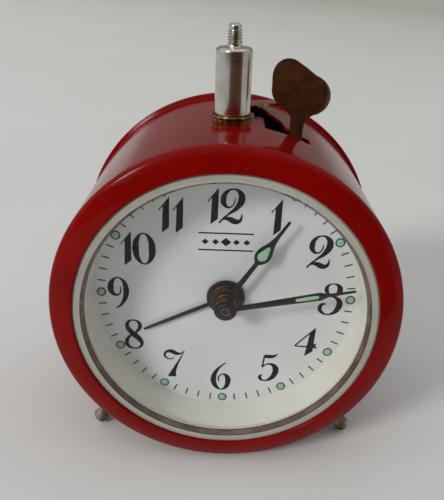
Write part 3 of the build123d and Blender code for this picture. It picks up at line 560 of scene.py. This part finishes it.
windowLook = {
    "pane": [(-12.4, 0), (-12.4, 38.15), (-11.6, 38.15), (-11.6, 0)], "paneSteps": 192,
    # the conical step, with a thin dark line of painted shade along each of its edges, then the flat shoulder
    "shoulder": [(-12.42, 38.2), (-12.7, 38.34), (-13.85, 38.99), (-14.1, 39.15), (-14.1, 40.85),
                 (-13.4, 41.1), (-13.2, 42.4), (-12.3, 42.4), (-13.15, 40.2), (-12.35, 39.05),
                 (-11.4, 39), (-11.4, 38.2)],
    "rounds": {4: 0.2}, "steps": 256,
    # the step's faces: radii of its edges and of its lines, its back, and how far towards the front they face
    "step": (38.2, 38.34, 38.99, 39.15), "slack": 0.01, "stepBack": -12.41, "slant": (0.1, 0.99),
}
pane = turnedByDepth(windowLook["pane"], windowLook["paneSteps"])
shoulder = turnedByDepth(windowLook["shoulder"], windowLook["steps"], windowLook["rounds"], True)
low, inner, outer, high = windowLook["step"]
least, most = windowLook["slant"]
slack = windowLook["slack"]
# the step's faces take the painted reflection of the joint, the faces at its edges the painted shade
for face in shoulder.faces:
    centre = face.calc_center_median()
    radius = math.hypot(centre.x, centre.y)
    onStep = low - slack < radius < high + slack and centre.z > -windowLook["stepBack"]
    if onStep and least < face.normal.z <= most:
        face.material_index = 1 if inner < radius < outer else 2
piece("windowPane", [pane], [clearAcrylic], "case", ["crystal"])
piece("windowShoulder", [(shoulder, faceFrame, None)], [shoulderAcrylic, stepPaintedReflection, stepEdgePaintedShade], "case",
      ["crystal"])
print("reflector and window")


# Dial print. Numerals are drawn about their own centres: strokes of (x, y, width), and filled outlines
# of corners.
numerals = {
    "0": {"strokes": [[(-2.35, 0, 1.55), (-1.95, 2.7, 1.2), (-0.2, 4.7, 0.35), (1.75, 3, 1.1),
     (2.3, 0, 1.6), (1.95, -2.9, 1.2), (0.2, -4.7, 0.35), (-1.75, -3, 1.1), (-2.35, 0, 1.55)]]},
    "1": {"fills": [[(1.5, 5.3), (-1.3, 1.05), (-1.5, 1.4)], [(1.5, 5.35), (1.4, -3.7),
     (-0.6, -5.4), (-0.32, 2.2), (-0.5, 2.3)]]},
    "2": {"strokes": [[(1, 2.4, 0.25), (0.75, 1.1, 0.3), (0.2, 0.1, 0.35), (-0.75, -0.3, 0.5),
     (-1.9, 0.5, 1), (-2.2, 2.1, 1.3), (-1.45, 4, 0.85), (0.35, 4.95, 0.35), (2.1, 4.2, 1),
     (2.75, 2.2, 1.6), (1.6, -0.2, 1.15), (-0.5, -2.1, 0.55), (-2.1, -3.5, 0.4), (-3.2, -4.9, 0.45)],
     [(-3.1, -4.7, 0.25), (-1.8, -3.6, 0.6), (-0.3, -3.75, 1.2), (1.1, -4.35, 1.35), (2.3, -4.2, 0.9),
     (2.85, -3.2, 0.5), (2.9, -2.1, 0.25)]]},
    "3": {"strokes": [[(-0.4, 1.6, 0.3), (-1.2, 2.35, 0.9), (-1.45, 3.5, 0.95), (-0.6, 4.75, 0.45),
     (0.6, 5, 0.3), (2, 4.3, 1), (2.4, 3, 1.35), (1.7, 1.6, 0.9), (0.2, 0.95, 0.3)],
     [(-0.2, 0.9, 0.3), (1.4, 0.55, 0.7), (2.65, -1, 1.4), (2.2, -3.3, 1.35), (0.8, -4.75, 0.7),
     (-0.8, -5.05, 0.4), (-2.45, -4.2, 0.8), (-2.9, -2.9, 1), (-2.3, -1.8, 0.75), (-1.2, -1.6, 0.3)]]},
    "4": {"fills": [[(2.55, 5.1), (2.15, -3.2), (-0.2, -5), (0.85, 2.9)]],
     "strokes": [[(2.4, 4.8, 0.3), (-0.5, 1.7, 0.38), (-3.3, -1.4, 0.36)], [(-3.35, -1.45, 0.3),
     (0, -1.6, 0.42), (3.3, -1.75, 0.4)], [(2.95, -0.4, 0.25), (2.5, -1.1, 0.6), (2.9, -2.2, 0.3)]]},
    "5": {"strokes": [[(-1.35, 4.1, 1), (0.5, 4, 1), (1.75, 4.35, 0.6), (2.5, 5.1, 0.2)],
     [(-1.45, 4.3, 0.4), (-1.65, 2.1, 0.42), (-1.95, 0, 0.42)], [(-1.95, 0, 0.3), (-0.9, 1.05, 0.35),
     (0.7, 1.25, 0.65), (2.1, -0.1, 1.45), (1.9, -2.5, 1.4), (0.5, -4.3, 0.9), (-1, -4.85, 0.35),
     (-2.2, -4.3, 0.8), (-2.5, -3.4, 0.75), (-1.8, -2.7, 0.3)]]},
    "6": {"strokes": [[(1.5, 5, 0.3), (0.1, 3.8, 0.45), (-1.25, 2.1, 0.85), (-2.1, -0.1, 1.3),
     (-2.1, -2.2, 1.35), (-1.1, -4.2, 0.9), (0.1, -4.9, 0.35), (1.5, -4.2, 0.9), (2.25, -2.1, 1.35),
     (2, -0.2, 1.2), (0.9, 0.75, 0.5), (-0.2, 0.3, 0.35), (-0.7, -1, 0.4), (-0.5, -1.9, 0.3)]]},
    "7": {"strokes": [[(0, 2.1, 0.25), (-1.1, 1.6, 0.3), (-2.4, 2.1, 0.45), (-2.9, 3.3, 0.6),
     (-2.1, 4.3, 0.7), (-0.8, 4.4, 1.1), (0.6, 3.7, 1), (2, 3.7, 0.45), (3.1, 4.6, 0.25)]],
     "fills": [[(3.25, 4.7), (2.4, 3.3), (0.9, 0.6), (-2.05, -4.8), (0.5, -4.8),
     (0.6, -2.6), (1.2, -0.4), (2.2, 2.1)]]},
    "8": {"strokes": [[(-0.2, 0.1, 0.4), (0.95, 1.2, 0.7), (1.75, 2.7, 1), (1.35, 4.2, 0.75),
     (-0.1, 4.9, 0.4), (-1.7, 4.2, 0.75), (-2, 2.6, 1.05), (-1.15, 1.1, 1.3), (0.2, -0.3, 1.5),
     (1.6, -1.8, 1.3), (2.2, -3.3, 0.85), (1.4, -4.6, 0.5), (-0.2, -4.95, 0.4), (-1.8, -4.2, 0.8),
     (-2.35, -2.7, 1.05), (-1.6, -1, 0.7), (-0.2, 0.1, 0.4)]]},
    "9": {"strokes": [[(0.6, 2.1, 0.25), (0.65, 0.4, 0.35), (-0.35, -0.7, 0.5), (-1.85, 0.2, 1.15),
     (-2.2, 2, 1.45), (-1.45, 4.1, 0.9), (-0.1, 4.95, 0.35), (1.45, 4, 0.8), (2.2, 1.8, 1.35),
     (2.2, -0.4, 1.3), (1.3, -2.9, 0.9), (0.2, -4.4, 0.5), (-0.85, -5, 0.3)]]},
}
dialLook = {
    # height of the ink, thickness of a stroke, and the steps that keep crossing strokes out of one plane
    "ink": 0.035, "layer": 0.03, "strokeStep": 0.001, "fillStep": 0.0007, "fillLift": 0.0003, "bold": 1.2,
    "dotRadius": 36, "dot": 1.38, "dotHeight": 0.05, "tick": (0.38, 2.3), "tickRadius": 36,
    # a dot's paste: its radius, its foot, and its side as (share of the radius, height)
    "paste": 1.04, "pasteFoot": 0.02, "pasteSide": [(1, 0.02), (0.97, 0.09), (0.7, 0.15), (0, 0.17)],
    # numeral: its digits with their offsets, and its centre
    "numerals": [
        ([("1", -3.55), ("2", 1.45)], (-0.8, 27.6)), ([("1", 0)], (13, 24.9)), ([("2", 0)], (25.7, 14.9)),
        ([("3", 0)], (30.3, 0.1)), ([("4", 0)], (24.5, -14.8)), ([("5", 0)], (13.8, -24.4)),
        ([("6", 0)], (-0.7, -28.2)), ([("7", 0)], (-15, -24.1)), ([("8", 0)], (-26.9, -14.1)),
        ([("9", 0)], (-31.1, -0.2)), ([("1", -3.2), ("0", 1.8)], (-25.2, 14.1)),
        ([("1", -1.9), ("1", 1.9)], (-15.8, 24.6)),
    ],
    # two rules as (height on the dial, length, width), with a row of plain lozenges between them
    "rules": [(19.6, 15.4, 0.42), (14.5, 15.4, 0.42)], "rulesCentre": -0.5,
    "lozengeRow": 17, "lozengePitch": 2.9, "lozenge": (1, 0.85), "lozengeSizes": [1, 1, 1.5, 1, 1],
}


def dialPrint(look):
    shapes = []
    height = look["ink"]
    strokes, fills = [], []
    for digits, (x, y) in look["numerals"]:
        for digit, offset in digits:
            for stroke in numerals[digit].get("strokes", []):
                strokes.append([(px + x + offset, py + y, width * look["bold"]) for px, py, width in stroke])
            for fill in numerals[digit].get("fills", []):
                fills.append([(px + x + offset, py + y, 0) for px, py in fill])
    for number, stroke in enumerate(strokes):
        shapes.append(brushed(stroke, height + look["strokeStep"] * number))
    for number, fill in enumerate(fills):
        front = height + look["fillStep"] * number + look["fillLift"]
        shapes.append(plate([fill], front, look["layer"], 0.0))
    for minute in range(60):
        if minute % 5:
            tick = bar((*look["tick"], height), (0, look["tickRadius"], height / 2))
            clockwise = Matrix.Rotation(-minute * math.pi / 30, 3, "Z")
            bmesh.ops.rotate(tick, verts=tick.verts, cent=(0, 0, 0), matrix=clockwise)
            shapes.append(tick)
    for y, length, width in look["rules"]:
        shapes.append(bar((length, width, height), (look["rulesCentre"], y, height / 2)))
    y = look["lozengeRow"]
    middle = len(look["lozengeSizes"]) // 2
    for number, size in enumerate(look["lozengeSizes"]):
        x = look["rulesCentre"] + (number - middle) * look["lozengePitch"]
        across, tall = look["lozenge"][0] * size, look["lozenge"][1] * size
        lozenge = [(x - across, y, 0), (x, y - tall, 0), (x + across, y, 0), (x, y + tall, 0)]
        shapes.append(plate([lozenge], height, look["layer"], 0.0))
    return shapes


def dialDots(look):
    # a printed dot with its drop of luminous paste at each hour
    rim, top = look["dot"], look["dotHeight"]
    side = [(look["paste"] * share, height) for share, height in look["pasteSide"]]
    shapes = []
    for hour in range(12):
        angle = math.pi * hour / 6
        place = (look["dotRadius"] * math.sin(angle), look["dotRadius"] * math.cos(angle), 0)
        spot = faceFrame @ Matrix.Translation(place)
        shapes.append((turned([(0, 0), (rim, 0), (rim, top), (0, top)], 40), spot, 0))
        shapes.append((turned([(0, look["pasteFoot"])] + side, 40), spot, 1))
    return shapes


piece("dialPrint", dialPrint(dialLook), [printInk], "case")
piece("luminousDots", dialDots(dialLook), [printInk, luminousPaste], "case")
print("dial")


# Hands: blanked plates with round hubs.
def handOutline(stations, angle, roundEnd=True, smooth=None):
    # stations: (distance from the centre, half width) from the hub to the tip; smooth: the first and the
    # last station that curve
    turn = Matrix.Rotation(-math.radians(angle), 2)
    one = [(-half, along) for along, half in stations]
    other = [(half, along) for along, half in reversed(stations)]
    end, half = stations[-1]
    slope = 0.7 * half
    tip = [(-slope, end + slope), (0, end + half), (slope, end + slope)] if roundEnd else []
    whole = one + tip + other
    placed = []
    for number, point in enumerate(whole):
        spot = turn @ Vector(point)
        curved = smooth and smooth[0] <= min(number, len(whole) - 1 - number) <= smooth[1]
        placed.append((spot.x, spot.y) if curved else (spot.x, spot.y, 0))
    return placed


# angle clockwise from twelve; front: height of the hand's face over the dial; rise: the hub's above that
handsLook = {
    "alarm": {"angle": 244.3, "front": 1.3, "hub": 5.55, "hole": 3.6, "rise": 0.05,
              "stations": [(3.5, 0.6), (12, 0.58), (20, 0.5), (26.1, 0.36)], "smooth": None},
    "hour": {"angle": 33.3, "front": 3.9, "hub": 3.9, "hole": 2.75, "rise": 0.1,
             "stations": [(1.5, 0.8), (6, 0.8), (14.8, 0.62), (15.5, 1.3), (16.5, 1.95), (17.9, 2.2),
                          (19.3, 2), (21.2, 1.25), (23.2, 0.72), (25.5, 0.5), (29.8, 0.4)],
             "smooth": (3, 9), "pasteSmooth": (0, 4),
             "paste": [(16.2, 0.45), (16.6, 1), (17.4, 1.33), (18.5, 1.15), (20.9, 0.12)]},
    "minute": {"angle": 78.3, "front": 8.5, "hub": 3.25, "hole": 1.95, "rise": 0.12,
               "stations": [(1.5, 0.72), (6.3, 0.78), (19.7, 1.05), (26.4, 1.2), (27.9, 0.7), (29, 0.44),
                            (35.9, 0.3)],
               "smooth": None, "pasteSmooth": (0, 3),
               "paste": [(19.6, 0.28), (19.9, 0.4), (25.5, 0.48), (25.9, 0.32)],
               # lacquered over the end of the pipe
               "cap": [(1.93, 8.4), (2.15, 8.4), (2.15, 8.98), (2, 9.08), (1.02, 9.08), (1.02, 8.93),
                       (1.93, 8.93)], "capRounds": {3: 0.05}},
}
blankLook = {"thick": 0.4, "edge": 0.06, "chamfer": (0.25, 0.12), "hubRounds": {2: 0.08},
             "pasteRise": 0.03, "pasteThick": 0.12, "pasteEdge": 0.03}


def handShapes(look, blank):
    flat, hub, hole = look["front"], look["hub"], look["hole"]
    outline = handOutline(look["stations"], look["angle"], True, look["smooth"])
    foot, top = flat - blank["thick"], flat + look["rise"]
    inward, down = blank["chamfer"]
    hubSide = [(hole, foot), (hub, foot), (hub, top - down), (hub - inward, top), (hole, top)]
    shapes = [plate([outline], flat, blank["thick"], blank["edge"]),
              turned(hubSide, 96, blank["hubRounds"], True)]
    if "paste" in look:
        outline = handOutline(look["paste"], look["angle"], False, look["pasteSmooth"])
        paste = plate([outline], flat + blank["pasteRise"], blank["pasteThick"], blank["pasteEdge"])
        shapes.append((paste, faceFrame, 1))
    if "cap" in look:
        shapes.append(turned(look["cap"], 64, look["capRounds"], True))
    return shapes


for side, look in handsLook.items():
    paints = [handLacquer, luminousPaste] if "paste" in look else [handLacquer]
    piece(side + "Hand", handShapes(look, blankLook), paints, side + "_hand_set",
          [side + "_hand"])

# Brass ends of the pipes, spread over the hubs, and the pin in the middle.
pipesLook = {
    "alarm": {"side": [(3, 1.3), (4.15, 1.3), (4.1, 1.65), (3.75, 1.85), (3, 1.75)], "rounds": {3: 0.1}},
    "hour": {"side": [(2.05, 3.9), (2.9, 3.9), (2.85, 4.4), (2.6, 4.6), (2.05, 4.6)], "rounds": {3: 0.08}},
}
pinLook = {"side": [(0, 8.3), (1.01, 8.3), (1.01, 9.38), (0.9, 9.45), (0, 9.47)]}
for side, look in pipesLook.items():
    ring = turned(look["side"], 96, look["rounds"], True)
    piece(side + "PipeRing", [ring], [darkBronze], side + "_hand_set")
piece("centrePin", [turned(pinLook["side"], 64)], [dulledPin], "minute_hand_set")
print("hands")


# Bell post: turned and nickel plated, with a threaded stud.
postLook = {
    "body": [(0, 43), (2.5, 43), (2.5, 49.4), (4.9, 49.4), (4.9, 66.9), (4.3, 67.5), (2.1, 67.5),
             (1.95, 67.7), (1.95, 68.45), (1.6, 68.75), (1.6, 71.9), (1.7, 72.1), (1.68, 72.95),
             (1.2, 73.4), (0, 73.5)],
    "rounds": {3: 0.15, 4: 0.35, 5: 0.35, 6: 0.1, 12: 0.35, 13: 0.3},
    "thread": {"root": 1.55, "crest": 2, "start": 68.9, "pitch": 0.7, "turns": 4.2, "halfFoot": 0.28,
               "halfCrest": 0.06, "stepsPerTurn": 48},
}


def threadShape(look):
    shape = bmesh.new()
    start, root, crest = look["start"], look["root"], look["crest"]
    foot, top = look["halfFoot"], look["halfCrest"]
    section = [(root, start - foot), (crest, start - top), (crest, start + top), (root, start + foot)]
    face = shape.faces.new([shape.verts.new((radius, 0, height)) for radius, height in section])
    steps = int(look["stepsPerTurn"] * look["turns"])
    rise = look["pitch"] * look["turns"] / steps
    bmesh.ops.spin(shape, geom=[face] + list(face.edges) + list(face.verts), cent=(0, 0, 0), axis=(0, 0, 1),
                   dvec=(0, 0, rise), angle=2 * math.pi * look["turns"], steps=steps)
    weld(shape)
    faceOutward(shape)
    return shape


piece("bellPost", [(turned(postLook["body"], 128, postLook["rounds"]), postFrame, 0),
                   (threadShape(postLook["thread"]), postFrame, 0)],
      [nickelPlate], "case", ["bell_post"], 38)

collarLook = {
    "side": [(4.95, 49.3), (5.3, 49.6), (5.6, 50.1), (6, 50), (6, 49.45), (5.5, 49.15), (5.4, 45.5),
             (4, 45.5), (4, 49.3)],
    "rounds": {3: 0.15, 4: 0.2},
    # what is under that height is laid on the drum's wall
    "underside": 46, "drum": 48.02,
}
collar = turned(collarLook["side"], 128, collarLook["rounds"], True)
for vert in collar.verts:
    if vert.co.z < collarLook["underside"]:
        vert.co.z = math.sqrt(collarLook["drum"] ** 2 - vert.co.x ** 2)
piece("brassCollar", [(collar, postFrame, 0)], [agedBrass], "case", ["post_collar"])
print("bell post")


# Hammer, its weight, and the stop lever.
hammerLook = {
    "outline": [(16.3, 26, 0), (19.5, 26, 0), (19.5, 44, 0), (19.5, 46.6, 0), (20.2, 48.9), (22.4, 50.8),
                (24.4, 53), (25.3, 56.2), (24.4, 59.3), (21.7, 61.2), (18.4, 63.5), (15, 65.1),
                (12.2, 64.3), (10.7, 62.2), (10.4, 58.6), (10.8, 55), (13.4, 52.2), (15.4, 50.6),
                (15.95, 49.2, 0), (15.9, 46, 0)],
    "front": -11.6, "thick": 0.8, "edge": 0.1,
    "pivot": (18, 24), "eye": 2.6, "bore": 1, "eyeRise": 0.01, "eyeEdge": 0.05,
    "weight": (21.2, 55.4), "weightSide": [(0, -12.4), (5.2, -12.4), (5.2, -15), (4.7, -15.4), (0, -15.4)],
    "weightRounds": {2: 0.3, 3: 0.3},
}
hammer = plate([hammerLook["outline"]], hammerLook["front"], hammerLook["thick"], hammerLook["edge"])
piece("hammerPlate", [hammer, eyeShape(hammerLook, hammerLook["front"])], [bronzedSteel], "hammer_set",
      ["hammer"])
weightFrame = faceFrame @ Matrix.Translation((*hammerLook["weight"], 0))
piece("hammerWeight", [(turned(hammerLook["weightSide"], 96, hammerLook["weightRounds"]), weightFrame, 0)],
      [tarnishedZinc], "hammer_set", ["hammer_weight"])

stopLook = {
    # the strip seen from above, as (right, depth), and its hanging leg seen from the front
    "blade": [(-1.5, 27, 0), (4, 26.9), (8, 27.5), (9.9, 29.8), (12.6, 31.2), (15.6, 31.6), (17.25, 33.2),
              (16.9, 35.4), (15.2, 36.35), (9, 35.3), (3, 34), (-1.5, 33.7, 0)],
    "top": 49.5, "thick": 0.8, "bladeEdge": 0.12,
    "leg": [(-1.5, 33, 0), (2.5, 33, 0), (2.5, 49.3, 0), (-1.5, 49.3, 0)], "legFront": -32.9, "legEdge": 0.08,
    "pivot": (0, 34), "eye": 2.6, "bore": 1.25, "eyeRise": 0.01, "eyeEdge": 0.05,
}
blade = plate([stopLook["blade"]], stopLook["top"], stopLook["thick"], stopLook["bladeEdge"])
leg = plate([stopLook["leg"]], stopLook["legFront"], stopLook["thick"], stopLook["legEdge"])
piece("stopStrip", [(blade, plainFrame, 0), leg, eyeShape(stopLook, stopLook["legFront"])], [agedBrass],
      "stop_lever_set", ["stop_lever"])
print("hammer and stop lever")


# Feet: turned pegs, splayed to both sides.
feetLook = {
    "angle": 39.7, "depth": 2.5,
    "side": [(0, 47.2), (1.5, 47.2), (1.5, 48.05), (2.25, 48.05), (2.25, 49.4), (2, 49.6), (2, 49.9),
             (2.25, 50.1), (2.25, 61.6), (1.7, 62.15), (0, 62.2)],
    "rounds": {8: 0.25, 9: 0.3},
}
feetShapes = []
feetFrame = plainFrame @ Matrix.Translation((0, feetLook["depth"], 0))
for side in (-1, 1):
    down = Matrix.Rotation(math.pi - side * math.radians(feetLook["angle"]), 4, "Y")
    feetShapes.append((turned(feetLook["side"], 64, feetLook["rounds"]), feetFrame @ down, 0))
piece("pegFeet", feetShapes, [wornNickel], "case", ["feet"])
print("feet")


# Back cover: a pressed steel lid with its holes, arrows printed beside them, and slotted screws.
coverLook = {
    "plane": 45.4, "flat": 41, "sheet": 0.8, "edge": 0.12,
    # the rim's steps: (radius, how far forward it has come)
    "rim": [(41.9, 0.25), (42.7, 1.25), (43.4, 1.6), (47, 1.6)],
    # round holes: centre, radius, and their arrow's turn, 1 for anticlockwise or -1, and radius
    "holes": [((-20.5, -9), 2.6, 1, 7.4), ((20.5, -9), 2.6, -1, 7.4), ((0, 0), 1.8, 1, 6.6),
              ((0, -16), 1.8, -1, 6.6)],
    # the regulator's window, an arc of that half angle in degrees
    "window": {"centre": (-20, 25), "radii": (10.2, 13.8), "half": 24, "steps": 16},
    # a place on the sheet with no hole, where its facing is read
    "plain": (10, 10),
    "screws": [(-33, 8), (33, 8), (0, -35)],
}
arrowLook = {"width": 0.5, "sweep": (-60, -30, 0, 30, 55), "front": 0.12, "thick": 0.2, "smooth": 10,
             "headHalf": 1.1, "headLong": 2.0}
# the screws' slots stand at chance angles, in radians
screwLook = {"side": [(0, -0.5), (2.4, -0.5), (2.4, 0.35), (1.9, 0.85), (0, 1.1)],
             "rounds": {2: 0.15, 3: 0.3}, "slotWide": 0.6, "slotDeep": 0.5, "slotAbove": 0.4,
             "firstTurn": 0.7, "turnStep": 1.1}


def coverShape(look):
    outlines = [circleOf(look["flat"])]
    outlines += [circleOf(radius, place) for place, radius, *arrow in look["holes"]]
    slot = look["window"]
    (x, y), (inner, outer), steps = slot["centre"], slot["radii"], slot["steps"]
    path = []
    for radius, order in ((inner, 1), (outer, -1)):
        for number in range(steps + 1):
            angle = math.radians(slot["half"] * order * (2 * number / steps - 1))
            path.append((x + radius * math.cos(angle), y + radius * math.sin(angle), 0))
    outlines.append(path)
    shape = curveShape(outlines, True, {"dimensions": "2D", "fill_mode": "FRONT", "resolution_u": 48})
    rim = [edge for edge in shape.edges if edge.is_boundary
           and min(vert.co.length for vert in edge.verts) > look["flat"] - 1]
    at, forward = look["flat"], 0
    for radius, ahead in look["rim"]:
        made = bmesh.ops.extrude_edge_only(shape, edges=rim)
        verts, rim = only(bmesh.types.BMVert, made), only(bmesh.types.BMEdge, made)
        bmesh.ops.scale(shape, verts=verts, vec=(radius / at, radius / at, 1))
        bmesh.ops.translate(shape, verts=verts, vec=(0, 0, ahead - forward))
        at, forward = radius, ahead
    raiseBy(shape, -look["plane"])
    faceOutward(shape)
    plain = Vector(look["plain"])
    middle = min(shape.faces, key=lambda face: (face.calc_center_median().xy - plain).length)
    if middle.normal.z > 0:
        bmesh.ops.reverse_faces(shape, faces=shape.faces[:])
    return shape


def arrowShape(look, radius, turn):
    # a curved arrow round a hole
    sweep = [math.radians(turn * angle) for angle in look["sweep"]]
    stroke = [(radius * math.sin(-angle), radius * math.cos(angle), look["width"]) for angle in sweep]
    shape = brushed(stroke, look["front"], look["thick"], look["smooth"])
    end = sweep[-1]
    along = Vector((-math.cos(end) * turn, -math.sin(end) * turn)) * look["headLong"]
    across = Vector((-math.sin(end), math.cos(end))) * look["headHalf"]
    tip = Vector((radius * math.sin(-end), radius * math.cos(end)))
    head = [(corner.x, corner.y, 0) for corner in (tip + across, tip - across, tip + along)]
    moveInto(shape, plate([head], look["front"], look["thick"], 0))
    return shape


def screwShape(look):
    # a raised cheese head, its slot pressed into the top
    shape = turned(look["side"], 48, look["rounds"])
    half = look["slotWide"] / 2
    for offset in (-half, half):
        bmesh.ops.bisect_plane(shape, geom=shape.faces[:] + shape.edges[:] + shape.verts[:], dist=cutDistance,
                               plane_co=(0, offset, 0), plane_no=(0, 1, 0))
    bottom = [face for face in shape.faces if abs(face.calc_center_median().y) < half
              and face.calc_center_median().z > look["slotAbove"]]
    verts = only(bmesh.types.BMVert, bmesh.ops.extrude_face_region(shape, geom=bottom))
    bmesh.ops.delete(shape, geom=bottom, context="FACES")
    bmesh.ops.translate(shape, verts=verts, vec=(0, 0, -look["slotDeep"]))
    faceOutward(shape)
    return shape


cover = piece("backCover", [coverShape(coverLook)], [coverSteel], "case", ["back_cover"], 30)
sheetMetal(cover, coverLook, 1)
outside = coverLook["plane"] + coverLook["sheet"]

arrows = []
for (x, y), hole, turn, radius in coverLook["holes"]:
    spot = behindFrame @ Matrix.Translation((-x, y, outside))
    arrows.append((arrowShape(arrowLook, radius, turn), spot, 0))
piece("coverArrows", arrows, [printInk], "case")

screws = []
for number, (x, y) in enumerate(coverLook["screws"]):
    slotTurn = Matrix.Rotation(screwLook["firstTurn"] + screwLook["turnStep"] * number, 4, "Z")
    spot = behindFrame @ Matrix.Translation((-x, y, outside)) @ slotTurn
    screws.append((screwShape(screwLook), spot, 0))
piece("coverScrews", screws, [brightSteel], "case", ["cover_screws"], 30)

# Winding keys: a turned hub with a pair of flat wings pressed through it.
keyLook = {
    "hub": [(1.25, 48.9), (3.2, 48.9), (3.2, 55.7), (2.6, 56.4), (1.25, 56.4)],
    "rounds": {1: 0.2, 2: 0.3, 3: 0.2},
    "wings": [(0, 50.2, 0), (6.2, 50.2), (9.6, 51.6), (11, 54.5), (10.9, 58.2), (9.4, 60.6), (6.5, 61.35),
              (3.6, 60.6), (1.7, 58.4), (0, 57.6)],
    "thick": 1.4, "edge": 0.25,
    "places": {"time": (-20.5, -9), "alarm": (20.5, -9)},
}
for side, (x, y) in keyLook["places"].items():
    hubFrame = faceFrame @ Matrix.Translation((x, y, 0)) @ Matrix.Rotation(math.pi, 4, "X")
    hub = turned(keyLook["hub"], 64, keyLook["rounds"], True)
    otherWing = [(-across, along) for across, along, *corner in reversed(keyLook["wings"][1:-1])]
    wings = plate([keyLook["wings"] + otherWing], keyLook["thick"] / 2, keyLook["thick"], keyLook["edge"], 8)
    wingFrame = plainFrame @ Matrix.Translation((x, 0, y))
    piece(side + "WindingKey", [(hub, hubFrame, 0), (wings, wingFrame, 0)], [keyNickel], side + "_key_set",
          [side + "_key"])
print("back")


# Finishes of the parts that are shown as they come; what isn't named here is bright steel.
finishNodes = [
    (clockBrass, ["front_plate", "back_plate", "cannon_pinion", "minute_wheel", "hour_wheel", "alarm_wheel",
                  "time_great_wheel", "alarm_great_wheel", "centre_wheel", "third_wheel", "fourth_wheel",
                  "escape_wheel", "balance_wheel", "alarm_escape_wheel", "pillars", "post_nut"]),
    (springSteel, ["time_mainspring", "alarm_mainspring", "hairspring", "time_click", "alarm_click"]),
    (keyNickel, ["time_set_knob", "alarm_set_knob"]),
    (dialLacquer, ["dial"]),
]
finishOfNode = {name: finish for finish, names in finishNodes for name in names}
for name, node in nodes.items():
    finish = finishOfNode.get(name, brightSteel)
    if len(node.material_slots):
        node.material_slots[0].material = finish
    else:
        node.data.materials.append(finish)
print("movement")


def surface(name, shape, paint):
    mesh = bpy.data.meshes.new(name)
    shape.to_mesh(mesh)
    shape.free()
    mesh.materials.append(paint)
    made = bpy.data.objects.new(name, mesh)
    scene.collection.objects.link(made)
    return made


# Brown stained wood of the board and the card, dry.
boardPaint = finishOf("stainedBoard", {
    "tones": ("#4a1f0a", "#58260c"), "patch": 60, "rough": (0.6, 0.75), "rubPatch": 20,
    "grain": 1.0, "bump": 0.05})
boardShape = bmesh.new()
for corners in (lightLook["board"], lightLook["card"]):
    boardShape.faces.new([boardShape.verts.new(corner) for corner in corners])
board = surface("board", boardShape, boardPaint)
board.visible_camera = board.visible_diffuse = board.visible_shadow = False

# Matt pale paper under the clock, with painted shade that makes it a little darker to the right and far away.
floorPaint = finishOf("matPaperFloor", {
    "tones": ("#d5d4d2", "#d9d8d6"), "patch": 160, "rough": (0.6, 0.75), "rubPatch": 60,
    # painted shade towards the right and the far end
    "grain": 1.0, "bump": 0.04, "paintedShade": ((0.6, 0.4, 0), -0.04, 1.4, "#aeada4"),
    "shader": {"Specular IOR Level": 0.0}})
floorShape = bmesh.new()
bmesh.ops.create_grid(floorShape, x_segments=4, y_segments=4, size=lightLook["floor"])
floor = surface("floor", floorShape, floorPaint)
print("floor and board")
